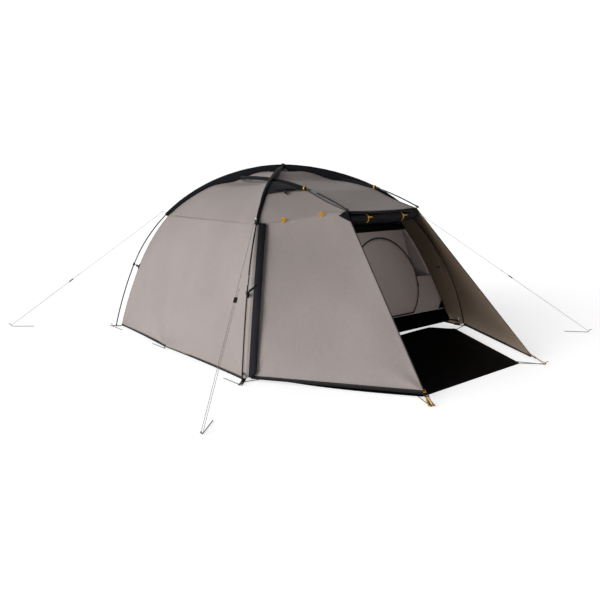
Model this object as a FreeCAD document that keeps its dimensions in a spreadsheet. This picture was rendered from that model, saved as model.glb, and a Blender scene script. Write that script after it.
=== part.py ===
import FreeCAD, Part
import math
import os
from FreeCAD import Vector, Placement, Rotation

# Dome trekking tent with crossed poles, a horseshoe brow pole and a front vestibule.
# X runs across the tent, -Y is the door end, Z is up, sizes in millimetres.
# The near side is -X and the far side is +X. Pole A runs from the near front foot to
# the far rear foot, and pole B from the far front foot to the near rear foot.

doc = FreeCAD.newDocument("dome_tent")
sheet = doc.addObject("Spreadsheet::Sheet", "dimensions")

DIMENSIONS = {
    "front_foot_half": 1136.0,      # front feet, from the middle plane
    "rear_foot_half": 1048.0,
    "foot_length": 1898.0,          # front feet to rear feet
    "apex_height": 1274.0,          # axis of the lower pole at the crossing
    "leg_clip_height": 518.0,       # clips that tie the bare pole legs to the fly
    "pole_gap": 15.6,               # height between crossing pole axes, with their sleeves
    "shoulder_radius": 1280.0,      # bend of the middle stretch of each pole
    "tube_radius": 4.5,
    "bore_radius": 3.4,
    "ferrule_radius": 5.6,
    "elastic_radius": 1.25,
    "sleeve_radius": 7.5,
    "sleeve_wall": 0.7,
    "fabric": 2.0,
    "sleeve_end_height": 919.0,     # sleeves stop here and the legs are bare below
    "brow_half": 350.0,             # brow pole arms, from the middle plane
    "brow_tip_height": 1008.0,
    "brow_tip_y": -78.0,
    "door_corner_half": 559.0,
    "door_corner_y": -905.0,
    "door_corner_height": 55.0,
    "door_peg_half": 600.0,
    "door_peg_y": -985.0,
    "inner_scale": 0.92,            # inner tent size against the pole frame
    "inner_seam_height": 850.0,
    "tub_height": 150.0,
    "roll_radius": 34.0,
    "guy_radius": 1.3,
    "peg_radius": 2.25,
    "peg_length": 180.0,
    "grommet_radius": 9.0,
    "runner_length": 36.0,
    "runner_width": 19.0,
    "runner_thickness": 8.0,
    "toggle_length": 34.0,
    "toggle_radius": 4.0,
    "webbing": 25.0,
    "footprint_edge": 2.0,
    "front_peg_reach": 20.0,        # pegs beyond the door pegs' and rear feet's centres
    "rear_peg_reach": 40.4,
}
for row, (alias, value) in enumerate(DIMENSIONS.items(), start=1):
    sheet.set("A%d" % row, alias)
    sheet.set("B%d" % row, str(value))
    sheet.setAlias("B%d" % row, alias)
doc.recompute()


def dim(alias):
    return float(getattr(sheet, alias))


NEAR, FAR = -1, 1
FRONT, REAR = "front", "rear"
FOOT_ANGLE, KNEE_ANGLE, ROOF_ANGLE = (math.radians(a) for a in (76.3, 66.9, 18.8))
APEX_Y_LOCAL = dim("foot_length") * dim("front_foot_half") / (
    dim("front_foot_half") + dim("rear_foot_half"))
FRONT_MOST = dim("door_peg_y") - dim("front_peg_reach")
REAR_MOST = dim("foot_length") + dim("rear_peg_reach")
SHIFT = -(FRONT_MOST + REAR_MOST) / 2


def at(x, y, z):
    """A point given from the front feet's line, moved to the centred frame."""
    return Vector(x, y + SHIFT, z)


APEX = at(0, APEX_Y_LOCAL, dim("apex_height"))
parts = []


def keep(label, shape):
    """Adds a sub-part whose shape is made with Part's own functions."""
    feature = doc.addObject("Part::Feature", label)
    feature.Label = label
    feature.Shape = shape
    feature.Placement = Placement(shape.Placement)
    parts.append(feature)
    return feature


def mirrored(shape):
    return shape.mirror(Vector(0, 0, 0), Vector(1, 0, 0))


def both_sides(shape):
    return [shape, mirrored(shape)]


def lerp(a, b, t):
    """A value or point part of the way from a to b."""
    return a + (b - a) * t


def unit(v):
    return Vector(v).normalize()


# ---------------------------------------------------------------- pole lines

def foot(end, side):
    if end == FRONT:
        return at(side * dim("front_foot_half"), 0, 0)
    return at(side * dim("rear_foot_half"), dim("foot_length"), 0)


def is_upper(end, side):
    """Pole B, over pole A at the crossing, has the far front and near rear feet."""
    return (end == FRONT) == (side == FAR)


class HalfPole:
    """Half of a crossing pole: three tangent arcs from a foot to the apex."""

    def __init__(self, end, side, top):
        self.foot = foot(end, side)
        flat = Vector(APEX.x, APEX.y, 0) - self.foot
        self.heading = unit(flat)
        reach = flat.Length
        sin, cos = math.sin, math.cos
        a, b, c, r = FOOT_ANGLE, KNEE_ANGLE, ROOF_ANGLE, dim("shoulder_radius")
        rest_reach = reach - r * (sin(b) - sin(c))
        rest_rise = top - r * (cos(c) - cos(b))
        m11, m12, m21, m22 = sin(a) - sin(b), sin(c), cos(b) - cos(a), 1 - cos(c)
        det = m11 * m22 - m12 * m21
        leg_radius = (rest_reach * m22 - m12 * rest_rise) / det
        roof_radius = (m11 * rest_rise - m21 * rest_reach) / det
        self.arcs = []
        along, rise, passed = 0.0, 0.0, 0.0
        for start, end_angle, radius in ((a, b, leg_radius), (b, c, r), (c, 0, roof_radius)):
            length = radius * (start - end_angle)
            self.arcs.append((passed, length, start, radius, along, rise))
            along += radius * (sin(start) - sin(end_angle))
            rise += radius * (cos(end_angle) - cos(start))
            passed += length
        self.length = passed

    def arc_at(self, distance):
        for arc in reversed(self.arcs):
            if distance >= arc[0]:
                return arc
        return self.arcs[0]

    def along_rise(self, distance):
        passed, length, start, radius, along, rise = self.arc_at(distance)
        angle = start - (distance - passed) / radius
        return (along + radius * (math.sin(start) - math.sin(angle)),
                rise + radius * (math.cos(angle) - math.cos(start)), angle)

    def point(self, distance):
        along, rise, _ = self.along_rise(distance)
        return self.foot + self.heading * along + Vector(0, 0, rise)

    def tangent(self, distance):
        angle = self.along_rise(distance)[2]
        return self.heading * math.cos(angle) + Vector(0, 0, math.sin(angle))

    def outward(self, distance):
        angle = self.along_rise(distance)[2]
        return self.heading * -math.sin(angle) + Vector(0, 0, math.cos(angle))

    def at_height(self, height):
        low, high = 0.0, self.length
        for _ in range(50):
            middle = (low + high) / 2
            if self.along_rise(middle)[1] < height:
                low = middle
            else:
                high = middle
        return low

    def edges(self, start, stop):
        """The line from one distance to another, as tangent arc edges."""
        result = []
        for passed, length, _, _, _, _ in self.arcs:
            low, high = max(start, passed), min(stop, passed + length)
            if high - low > 0.5:
                result.append((low, high))
        return [Part.Arc(self.point(lo), self.point((lo + hi) / 2), self.point(hi)).toShape()
                for lo, hi in result]


KEYS = [(end, side) for end in (FRONT, REAR) for side in (NEAR, FAR)]
HALVES = {key: HalfPole(*key, dim("apex_height") + (dim("pole_gap") if is_upper(*key) else 0))
          for key in KEYS}
LOW_LINES = {key: HalfPole(*key, dim("apex_height")) for key in KEYS}
SLEEVE_START = {key: half.at_height(dim("sleeve_end_height")) for key, half in HALVES.items()}
SEAM_START = {key: line.at_height(dim("sleeve_end_height")) for key, line in LOW_LINES.items()}


def pipe(edges, radius, inner=0.0):
    """A round bar or tube along tangent edges, one swept solid."""
    path = Part.Wire(edges)
    first = edges[0]
    start = first.valueAt(first.FirstParameter)
    direction = first.tangentAt(first.FirstParameter)

    def swept(r):
        ring = Part.Wire([Part.makeCircle(r, start, direction)])
        return path.makePipeShell([ring], True, True)

    solid = swept(radius)
    if inner > 0:
        solid = solid.cut(swept(inner))
    return solid


def tube_between(half, start, stop, radius, inner=0.0):
    """A bar or tube along a half pole, revolved about each arc's own centre."""
    pieces = []
    for passed, length, angle, arc_radius, _, _ in half.arcs:
        low, high = max(start, passed), min(stop, passed + length)
        if high - low < 0.5:
            continue
        origin = half.point(low)
        tangent = half.tangent(low)
        normal = unit(half.heading.cross(Vector(0, 0, 1)))
        centre = origin - half.outward(low) * arc_radius
        turn = -math.degrees((high - low) / arc_radius)
        disc = Part.Face(Part.Wire([Part.makeCircle(radius, origin, tangent)]))
        if inner > 0:
            disc = disc.cut(Part.Face(Part.Wire([Part.makeCircle(inner, origin, tangent)])))
        pieces.append(disc.revolve(centre, normal, turn))
    solid = pieces[0]
    for piece in pieces[1:]:
        solid = solid.fuse(piece)
    return solid.removeSplitter() if len(pieces) > 1 else solid


def line_solid(solid):
    return solid.Solids[0] if solid.Solids else solid


# ---------------------------------------------------------------- brow pole line

A_NEAR = LOW_LINES[(FRONT, NEAR)]
BROW_CROSS_Y = APEX_Y_LOCAL * (1 - dim("brow_half") / dim("front_foot_half"))
BROW_TOP_Z = dim("apex_height") - 64.0      # passes under both crossed poles
BROW_BEND_Y = 950.0


def brow_arm_arc():
    """Centre height, radius and end angle of an arm that is level at the rear bend."""
    run = BROW_BEND_Y - dim("brow_tip_y")
    drop = BROW_TOP_Z - dim("brow_tip_height")
    radius = (run * run + drop * drop) / (2 * drop)
    return BROW_TOP_Z - radius, radius, math.asin(run / radius)


BROW_CENTRE_Z, BROW_RADIUS, BROW_SPAN = brow_arm_arc()


def brow_arm(side, y):
    """A point of a brow arm's axis at a place y along the tent."""
    sine = (BROW_BEND_Y - y) / BROW_RADIUS
    return at(side * dim("brow_half"), y, BROW_CENTRE_Z + BROW_RADIUS * math.sqrt(1 - sine * sine))


def brow_edges(start_y, stop_y, side):
    middle = (start_y + stop_y) / 2
    return Part.Arc(brow_arm(side, start_y), brow_arm(side, middle), brow_arm(side, stop_y)).toShape()


def brow_bend(turn_start, turn_stop):
    """Part of the level half circle behind the apex, angles from the near arm."""
    centre = at(0, BROW_BEND_Y, BROW_TOP_Z)

    def on_bend(degrees):
        turn = math.radians(degrees)
        radius = dim("brow_half")
        return centre + Vector(-radius * math.cos(turn), radius * math.sin(turn), 0)

    middle = (turn_start + turn_stop) / 2
    return Part.Arc(on_bend(turn_start), on_bend(middle), on_bend(turn_stop)).toShape()


# ---------------------------------------------------------------- poles

SECTION_GAP = 0.6
TUBE_START = 18.0


def crossing_pole(label, front_side):
    """Tube sections of one crossing pole, seven of about equal length."""
    front = HALVES[(FRONT, front_side)]
    rear = HALVES[(REAR, -front_side)]
    count = 4
    sections = []
    for half in (front, rear):
        start = TUBE_START
        step = (half.length - start) / (count - 0.5)
        for index in range(count - 1):
            low = start + index * step
            sections.append(tube_between(half, low, low + step - SECTION_GAP,
                                         dim("tube_radius"), dim("bore_radius")))
        crown = tube_between(half, start + (count - 1) * step, half.length,
                             dim("tube_radius"), dim("bore_radius"))
        sections.append(crown)
    crown = sections.pop().fuse(sections.pop(count - 1)).removeSplitter()
    sections.append(crown)
    keep(label, Part.makeCompound([line_solid(s) for s in sections]))


def ferrule_spots(half):
    start = TUBE_START
    step = (half.length - start) / 3.5
    return [start + (index + 1) * step for index in range(3)]


def pole_ferrules():
    """Sleeves over the joints between tube sections."""
    rings = []
    for half in HALVES.values():
        for spot in ferrule_spots(half):
            rings.append(tube_between(half, spot - 32, spot + 32, dim("ferrule_radius"),
                                      dim("tube_radius") + 0.05))
    for side in (NEAR, FAR):
        for y in BROW_JOINTS:
            edge = brow_edges(y - 30, y + 30, side)
            rings.append(pipe([edge], dim("ferrule_radius"), dim("tube_radius") + 0.05))
    keep("pole_ferrules", Part.makeCompound([line_solid(r) for r in rings]))


BROW_JOINTS = (230.0, 600.0)


def brow_pole_tubes():
    sections = []
    for side in (NEAR, FAR):
        stops = [dim("brow_tip_y") + 8, *BROW_JOINTS, BROW_BEND_Y]
        for low, high in zip(stops[:-1], stops[1:]):
            edge = brow_edges(low + SECTION_GAP, high - SECTION_GAP, side)
            sections.append(pipe([edge], dim("tube_radius"), dim("bore_radius")))
    sections.append(pipe([brow_bend(0, 180)], dim("tube_radius"), dim("bore_radius")))
    keep("brow_pole_tubes", Part.makeCompound([line_solid(s) for s in sections]))


def pole_shock_cords():
    """Elastic cord down the middle of every pole."""
    cords = []
    for front_side in (NEAR, FAR):
        for half in (HALVES[(FRONT, front_side)], HALVES[(REAR, -front_side)]):
            cords.append(tube_between(half, TUBE_START + 8, half.length, dim("elastic_radius")))
    for side in (NEAR, FAR):
        cords.append(pipe([brow_edges(dim("brow_tip_y") + 14, BROW_BEND_Y, side)],
                          dim("elastic_radius")))
    cords.append(pipe([brow_bend(0, 180)], dim("elastic_radius")))
    keep("pole_shock_cords", Part.makeCompound([line_solid(c) for c in cords]))


def pole_end_fittings():
    """Stepped end pins: a collar against the tube and a thin pin through the grommet."""
    fittings = []
    for half in HALVES.values():
        collar = tube_between(half, PIN_START, TUBE_START - 0.2, dim("ferrule_radius"))
        lowest = half.point(PIN_START)
        pin_length = lowest.z - 0.3
        pin = Part.makeCylinder(dim("bore_radius"), pin_length, lowest + Vector(0, 0, 1.4),
                                Vector(0, 0, -1))
        fittings.append(collar.fuse(pin).removeSplitter())
    for side in (NEAR, FAR):
        tip = brow_arm(side, dim("brow_tip_y") + 8)
        back = unit(brow_arm(side, dim("brow_tip_y") + 7) - brow_arm(side, dim("brow_tip_y") + 8))
        cap = Part.makeCylinder(dim("ferrule_radius") + 1.4, 20, tip + back * 0.2, back)
        dome = Part.makeSphere(dim("ferrule_radius") + 1.4, tip + back * 20.2)
        fittings.append(cap.fuse(dome).removeSplitter())
    keep("pole_end_fittings", Part.makeCompound([line_solid(f) for f in fittings]))


# ---------------------------------------------------------------- sleeves

def pole_sleeve(label, front_side):
    front, rear = (FRONT, front_side), (REAR, -front_side)
    outer, inner = dim("sleeve_radius"), dim("sleeve_radius") - dim("sleeve_wall")
    runs = [tube_between(HALVES[key], SLEEVE_START[key], HALVES[key].length, outer, inner)
            for key in (front, rear)]
    keep(label, runs[0].fuse(runs[1]).removeSplitter())


BROW_SLEEVE_Y = 322.0


def brow_sleeve():
    outer, inner = dim("sleeve_radius"), dim("sleeve_radius") - dim("sleeve_wall")
    pieces = [pipe([brow_edges(BROW_SLEEVE_Y, BROW_BEND_Y, side)], outer, inner)
              for side in (NEAR, FAR)]
    pieces.append(pipe([brow_bend(0, 180)], outer, inner))
    solid = pieces[0].fuse(pieces[1:]).removeSplitter()
    keep("sleeve_brow", solid)


# ---------------------------------------------------------------- fabric panels

def panel(grid, thickness, direction):
    """A closed thin sheet: a smooth face through a grid of points, given a thickness."""
    surface = Part.BSplineSurface()
    surface.interpolate(grid)
    return surface.toShape().extrude(unit(direction) * thickness)


def grid_of(function, rows, columns):
    return [[function(i / (rows - 1), j / (columns - 1)) for j in range(columns)]
            for i in range(rows)]


DIP_PLACE, DIP_REACH, DIP_DEPTH = 400.0, 380.0, 27.0     # the fly passes under the brow pole
FLY_CLEARANCE = 2.5             # from a sleeve to the fly under it
LEG_INSET = 34.0                # from a bare leg to the fly's edge


def fly_edge(end, side, distance):
    """Fly beside a pole: close under its sleeve, and a hand's width inside the bare leg."""
    half = LOW_LINES[(end, side)]
    start = SEAM_START[(end, side)]
    inset = dim("sleeve_radius") + FLY_CLEARANCE
    from_dip = (half.length - distance - DIP_PLACE) / DIP_REACH
    if abs(from_dip) < 1:
        inset += DIP_DEPTH * math.cos(from_dip * math.pi / 2) ** 2
    if distance < start:
        bare = 1 - distance / start
        inset += LEG_INSET * math.sin(min(1.0, bare * 1.6) * math.pi / 2)
    return half.point(distance) - half.outward(distance) * inset


HEM_HEIGHT = 22.0


def ruled_between(key_a, key_b, low, high, sag, rise):
    """A panel between two poles, pulled in by sag at its middle and raised at its hem."""
    centre = Vector(APEX.x, APEX.y, 0)

    def place(u, w):
        heights = [lerp(low[i], high[i], u) for i in (0, 1)]
        a = fly_edge(*key_a, heights[0])
        b = fly_edge(*key_b, heights[1])
        point = lerp(a, b, 0.006 + 0.988 * w)
        bulge = 4 * w * (1 - w)
        towards = unit(Vector(centre.x - point.x, centre.y - point.y, 0) + Vector(0, 0, -1e-3))
        return (point + towards * (sag * bulge * (1 - u * u))
                + Vector(0, 0, rise * bulge * (1 - u) ** 2))

    return place


def seam_distances(key_a, key_b):
    return SEAM_START[key_a], SEAM_START[key_b]


def hem_distances(key_a, key_b):
    return tuple(LOW_LINES[key].at_height(HEM_HEIGHT + 6) for key in (key_a, key_b))


NEAR_SIDE = ((FRONT, NEAR), (REAR, NEAR))
REAR_SIDE = ((REAR, NEAR), (REAR, FAR))
APEX_GAP = 26.0


def top_distances(key_a, key_b):
    return tuple(LOW_LINES[key].length - APEX_GAP for key in (key_a, key_b))


def fly_sides():
    lower = ruled_between(*NEAR_SIDE, hem_distances(*NEAR_SIDE), seam_distances(*NEAR_SIDE), 12, 8)
    upper = ruled_between(*NEAR_SIDE, seam_distances(*NEAR_SIDE), top_distances(*NEAR_SIDE), 0, 0)
    low_solid = panel(grid_of(lower, 7, 7), dim("fabric"), Vector(1, 0, -0.25))
    high_solid = panel(grid_of(lambda u, w: upper(0.01 + 0.98 * u, 0.01 + 0.98 * w), 8, 5),
                       dim("fabric"), Vector(0.35, 0, -1))
    keep("fly_side_near", low_solid)
    keep("fly_side_far", mirrored(low_solid))
    keep("fly_upper_near", high_solid)
    keep("fly_upper_far", mirrored(high_solid))


def fly_rear():
    """Rear wall, below and above its seam."""
    lower = ruled_between(*REAR_SIDE, hem_distances(*REAR_SIDE), seam_distances(*REAR_SIDE), 12, 8)
    upper = ruled_between(*REAR_SIDE, seam_distances(*REAR_SIDE), top_distances(*REAR_SIDE), 0, 0)
    low_solid = panel(grid_of(lower, 7, 7), dim("fabric"), Vector(0, -1, -0.25))
    high_solid = panel(grid_of(lambda u, w: upper(0.01 + 0.98 * u, 0.01 + 0.98 * w), 8, 5),
                       dim("fabric"), Vector(0, -0.35, -1))
    keep("fly_rear", Part.makeCompound([low_solid, high_solid]))


def under_brow(side, y):
    """Fly below a brow arm: close under it at the tip, under pole A where they cross."""
    arm = brow_arm(side, y)
    share = (y - dim("brow_tip_y")) / (BROW_CROSS_Y - dim("brow_tip_y"))
    cross = fly_edge(FRONT, NEAR, A_NEAR.at_height(CROSS_HEIGHT)).z
    gap = lerp(dim("sleeve_radius") + 6.0, brow_arm(side, BROW_CROSS_Y).z - cross,
               max(0.0, share) ** 2)
    return arm - Vector(side * 2.0, 0, gap)


def cross_height():
    """Height of pole A's axis where the brow arm crosses over it."""
    low, high = 0.0, A_NEAR.length
    for _ in range(50):
        middle = (low + high) / 2
        if A_NEAR.point(middle).x < -dim("brow_half"):
            low = middle
        else:
            high = middle
    return A_NEAR.point(low).z


CROSS_HEIGHT = cross_height()
CROSS_DISTANCE = A_NEAR.at_height(CROSS_HEIGHT)


def fly_front_roof():
    """Roof between the brow arms, and the peak from their crossings to the apex."""
    def strip(u, w):
        y = lerp(dim("brow_tip_y") + 4, BROW_CROSS_Y - 2, u)
        dip = 8.0 * 4 * w * (1 - w) * (1 - u)
        return lerp(under_brow(NEAR, y), under_brow(FAR, y), w) - Vector(0, 0, dip)

    def peak(u, w):
        distance = lerp(CROSS_DISTANCE + 4, A_NEAR.length - APEX_GAP, u)
        near = fly_edge(FRONT, NEAR, distance)
        far = Vector(-near.x, near.y, near.z)
        return lerp(near, far, 0.01 + 0.98 * w)

    down = Vector(0, 0.1, -1)
    keep("fly_front_roof", Part.makeCompound([
        panel(grid_of(strip, 7, 5), dim("fabric"), down),
        panel(grid_of(peak, 6, 5), dim("fabric"), down)]))


# ---------------------------------------------------------------- vestibule

def door_edge(side, u):
    """Front edge of a vestibule wall, from the pegged corner up to the brow tip."""
    bottom = at(side * dim("door_corner_half"), dim("door_corner_y"), dim("door_corner_height"))
    top = under_brow(side, dim("brow_tip_y") + 4)
    return lerp(bottom, top, u)


def zip_point(u):
    """Line of the near side zip, from hem to seam, a little ahead of the near front leg."""
    half = A_NEAR
    low, high = half.at_height(HEM_HEIGHT + 14), SEAM_START[(FRONT, NEAR)]
    bottom, middle, top = (half.point(d) for d in (low, (low + high) / 2, high))
    ahead = Vector(0.62, -0.55, 0)
    ends = [bottom + ahead * 62, middle + ahead * 62, top + ahead * 34]
    ends = [p + half.heading * 14 for p in ends]
    edge = Part.Arc(*ends).toShape()
    spot = edge.valueAt(lerp(edge.FirstParameter, edge.LastParameter, u))
    return spot, edge.Curve


def vestibule_walls():
    def wall(u, w):
        rear = zip_point(u)[0]
        front = door_edge(NEAR, u * 0.985)
        belly = 16.0 * 4 * w * (1 - w) * math.sin(math.pi * u)
        return lerp(rear, front, 0.015 + 0.985 * w) + Vector(belly, 0, 0)

    solid = panel(grid_of(wall, 7, 7), dim("fabric"), Vector(1, 0.6, -0.3))
    keep("vestibule_wall_near", solid)
    keep("vestibule_wall_far", mirrored(solid))


VENT_START = 0.52


def triangle_point(u, w):
    """Fabric between pole A (w=0) and the brow arm (w=1), from seam (u=0) to crossing."""
    distance = lerp(SEAM_START[(FRONT, NEAR)], CROSS_DISTANCE, u)
    on_pole = fly_edge(FRONT, NEAR, distance)
    on_arm = under_brow(NEAR, lerp(dim("brow_tip_y") + 4, BROW_CROSS_Y, u))
    return lerp(on_pole, on_arm, w)


def vestibule_uppers():
    solid = panel(grid_of(lambda u, w: triangle_point(0.01 + (VENT_START + 0.16) * u, 0.02 + 0.96 * w),
                          6, 6), dim("fabric"), Vector(0.7, 0.3, -1))
    keep("vestibule_upper_near", solid)
    keep("vestibule_upper_far", mirrored(solid))


VENT_LIFT = 26.0


def vent_normal():
    a, b, c = triangle_point(0.5, 0), triangle_point(0.5, 1), triangle_point(0.9, 0.5)
    normal = unit((b - a).cross(c - a))
    return normal if normal.z > 0 else normal * -1


def vent_point(u, w):
    lift = VENT_LIFT * (1 - u) * math.sin(math.pi * w) + 5.0
    return triangle_point(lerp(VENT_START, 0.86, u), 0.10 + 0.68 * w) + vent_normal() * lift


def vent_hoods():
    solid = panel(grid_of(vent_point, 5, 5), dim("fabric"), vent_normal())
    keep("vent_hoods", Part.makeCompound(both_sides(solid)))


def prop_ends():
    """Foot and head of the near vent's prop, between the fly and the raised hood."""
    head = vent_point(0.03, 0.5) - vent_normal() * 4.5
    base = triangle_point(VENT_START - 0.06, 0.5) + vent_normal() * 6.0
    return base, head


def vent_props():
    base, head = prop_ends()
    along = unit(head - base)
    rod = Part.makeCylinder(2.5, (head - base).Length, base, along)
    across = unit(triangle_point(0.5, 1) - triangle_point(0.5, 0))
    eye = Part.makeCylinder(4.0, 12, base - across * 6, across)
    solid = rod.fuse(eye).removeSplitter()
    keep("vent_prop_near", solid)
    keep("vent_prop_far", mirrored(solid))


# ---------------------------------------------------------------- zips and flaps

def ribbon(points, side_vector, width, thickness, out):
    """A flat strip that follows points, widened along one direction."""
    grid = [[p - unit(side_vector) * (width / 2), p + unit(side_vector) * (width / 2)] for p in points]
    surface = Part.BSplineSurface()
    surface.interpolate(grid)
    return surface.toShape().extrude(unit(out) * thickness)


ZIP_OUT = Vector(-0.86, -0.5, 0.1)
ZIP_ALONG_WALL = Vector(0.5, -0.86, 0)


def side_zips():
    points = [zip_point(0.02 + 0.96 * i / 8)[0] + unit(ZIP_OUT) * 3.0 for i in range(9)]
    chain = ribbon(points, ZIP_ALONG_WALL, 9.0, 2.0, ZIP_OUT)
    keep("side_zips", Part.makeCompound(both_sides(chain)))


def zip_flaps():
    ahead = unit(ZIP_ALONG_WALL) * 17.0 + unit(ZIP_OUT) * 19.0
    points = [zip_point(i / 8)[0] + ahead for i in range(9)]
    flap = ribbon(points, ZIP_ALONG_WALL, 50.0, 1.6, ZIP_OUT)
    keep("zip_flaps", Part.makeCompound(both_sides(flap)))


def slider_solid(centre, along, across, out):
    """Zip slider with its pull tab hanging from a bridge."""
    frame = FreeCAD.Matrix(across.x, along.x, out.x, centre.x,
                           across.y, along.y, out.y, centre.y,
                           across.z, along.z, out.z, centre.z, 0, 0, 0, 1)
    block = Part.makeBox(9, 13, 3, Vector(-4.5, -6.5, 0))
    bridge = Part.makeBox(2, 9, 2.6, Vector(-1, -4.5, 2.6))
    tab = Part.makeBox(6, 26, 1.4, Vector(-3, -30, 5.2))
    neck = Part.makeBox(2.4, 6, 1.4, Vector(-1.2, -5.5, 5.2))
    solid = block.fuse([bridge, tab, neck]).removeSplitter()
    return solid.transformGeometry(frame)


SLIDER_SHARE = 0.10


def side_zip_sliders():
    """Sliders at the foot of the side zips, on the weather side under the flap."""
    spot = SLIDER_SHARE
    here = zip_point(spot)[0]
    along = unit(zip_point(spot + 0.01)[0] - zip_point(spot - 0.01)[0])
    outward = unit(ZIP_OUT - along * ZIP_OUT.dot(along))
    across = unit(along.cross(outward))
    solid = slider_solid(here + outward * 6.4, along, across, outward)
    keep("zip_slider_near", solid)
    keep("zip_slider_far", mirrored(solid))


# ---------------------------------------------------------------- rolled door

def roll_line():
    """Axis of the rolled-up door, hung under the front edge of the roof."""
    near = under_brow(NEAR, dim("brow_tip_y") + 4) + Vector(14, -4, -dim("roll_radius") - 13)
    return near, Vector(-near.x, near.y, near.z)


def rolled_door():
    near, far = roll_line()
    roll = doc.addObject("Part::Cylinder", "rolled_door")
    roll.Label = "rolled_door"
    roll.setExpression("Radius", "dimensions.roll_radius")
    roll.Height = (far - near).Length
    roll.Placement = Placement(near, Rotation(Vector(0, 0, 1), far - near))
    parts.append(roll)


TOGGLE_X = 175.0


def toggle_straps():
    """Elastic loops round the roll and short loops under the seam toggles."""
    near, _ = roll_line()
    bands = []
    for side in (NEAR, FAR):
        centre = Vector(side * TOGGLE_X, near.y, near.z)
        inner = dim("roll_radius") + 0.4
        ring = Part.makeCylinder(inner + 1.6, 9, centre - Vector(4.5, 0, 0), Vector(1, 0, 0))
        hole = Part.makeCylinder(inner, 9, centre - Vector(4.5, 0, 0), Vector(1, 0, 0))
        bands.append(ring.cut(hole))
    keep("toggle_straps", Part.makeCompound(bands))


def door_toggles():
    """Bar toggles that lock the straps, hanging on the front of the roll."""
    near, _ = roll_line()
    centre = Vector(-TOGGLE_X, near.y - dim("roll_radius") - 3.0 - dim("toggle_radius"), near.z + 6)
    length, radius = dim("toggle_length"), dim("toggle_radius")
    bar = Part.makeCylinder(radius, length, centre - Vector(length / 2, 0, 0), Vector(1, 0, 0))
    groove = Part.makeCylinder(radius + 1, 4, centre - Vector(2, 0, 0), Vector(1, 0, 0)).cut(
        Part.makeCylinder(radius - 1.2, 4, centre - Vector(2, 0, 0), Vector(1, 0, 0)))
    solid = bar.cut(groove)
    keep("door_toggle_near", solid)
    keep("door_toggle_far", mirrored(solid))


def seam_line():
    """The near seam between vestibule wall and vestibule upper, from pole to brow tip."""
    return triangle_point(0.0, 0.0), triangle_point(0.0, 1.0)


SEAM_SPOTS = (0.30, 0.72)


def side_toggles():
    start, stop = seam_line()
    along = unit(stop - start)
    out = unit(Vector(along.y, -along.x, 0.0) + Vector(0, 0, 0.5))
    bars = []
    for spot in SEAM_SPOTS:
        centre = lerp(start, stop, spot) + out * 9.0
        bars.append(Part.makeCylinder(3.0, 26, centre - along * 13, along))
    solid = Part.makeCompound(bars)
    keep("side_toggles_near", solid)
    keep("side_toggles_far", mirrored(solid))


# ---------------------------------------------------------------- feet and legs

def leg_clips():
    """Hooks round the bare legs half way up, and the straps that tie them to the fly."""
    hooks, straps = [], []
    for key, half in HALVES.items():
        distance = half.at_height(dim("leg_clip_height"))
        ring = tube_between(half, distance - 11, distance + 11, 8.0, dim("tube_radius") + 0.4)
        spot = half.point(distance)
        inward = half.outward(distance) * -1
        tail = Part.makeBox(12, 12, 5, Vector(0, -6, -2.5))
        turn = Rotation(Vector(1, 0, 0), inward)
        tail.Placement = Placement(spot + inward * 7.2, turn)
        hooks.append(ring.fuse(tail).removeSplitter())
        reach = (fly_edge(*key, distance) - spot).dot(inward) - 24.0
        strap = Part.makeBox(reach, 14, 1.6, Vector(0, -7, -0.8))
        strap.Placement = Placement(spot + inward * 19.4, turn)
        straps.append(strap)
    keep("leg_clips", Part.makeCompound(hooks))
    keep("leg_straps", Part.makeCompound(straps))


PIN_START = 13.0


def pin_spot(half):
    """Ground point under a pole's end pin."""
    point = half.point(PIN_START)
    return Vector(point.x, point.y, 0)


def side_loop(side):
    """Ground point of the peg loop half way along a side hem."""
    return at(side * 1092.0, 1010.0, 0)


TAB_HEIGHT = 5.4
FOOT_PEG_STEP = 34.0


def foot_webbing():
    """Webbing tabs under the feet with a hole for each grommet, and the side hem loops."""
    tabs = []
    for half in HALVES.values():
        turn = Rotation(Vector(1, 0, 0), half.heading)
        tab = Part.makeBox(140, dim("webbing"), 1.6, Vector(-46, -dim("webbing") / 2, 0))
        hole = Part.makeCylinder(dim("grommet_radius") - 2.0, 4, Vector(0, 0, -1))
        slot = Part.makeBox(13, 13, 4, Vector(-FOOT_PEG_STEP - 6.5, -6.5, -1))
        tab = tab.cut(hole).cut(slot)
        tab.Placement = Placement(pin_spot(half) + Vector(0, 0, TAB_HEIGHT), turn)
        tabs.append(tab)
    for side in (NEAR, FAR):
        strap = Part.makeBox(44, 16, 1.6, Vector(-22, -8, 0))
        strap = strap.cut(Part.makeBox(12, 9, 4, Vector(-17, -4.5, -1)))
        turn = Rotation(Vector(0, 0, 1), 0 if side == NEAR else 180)
        strap.Placement = Placement(side_loop(side) + Vector(-side * 11, 0, TAB_HEIGHT), turn)
        tabs.append(strap)
    keep("foot_webbing", Part.makeCompound(tabs))


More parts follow.
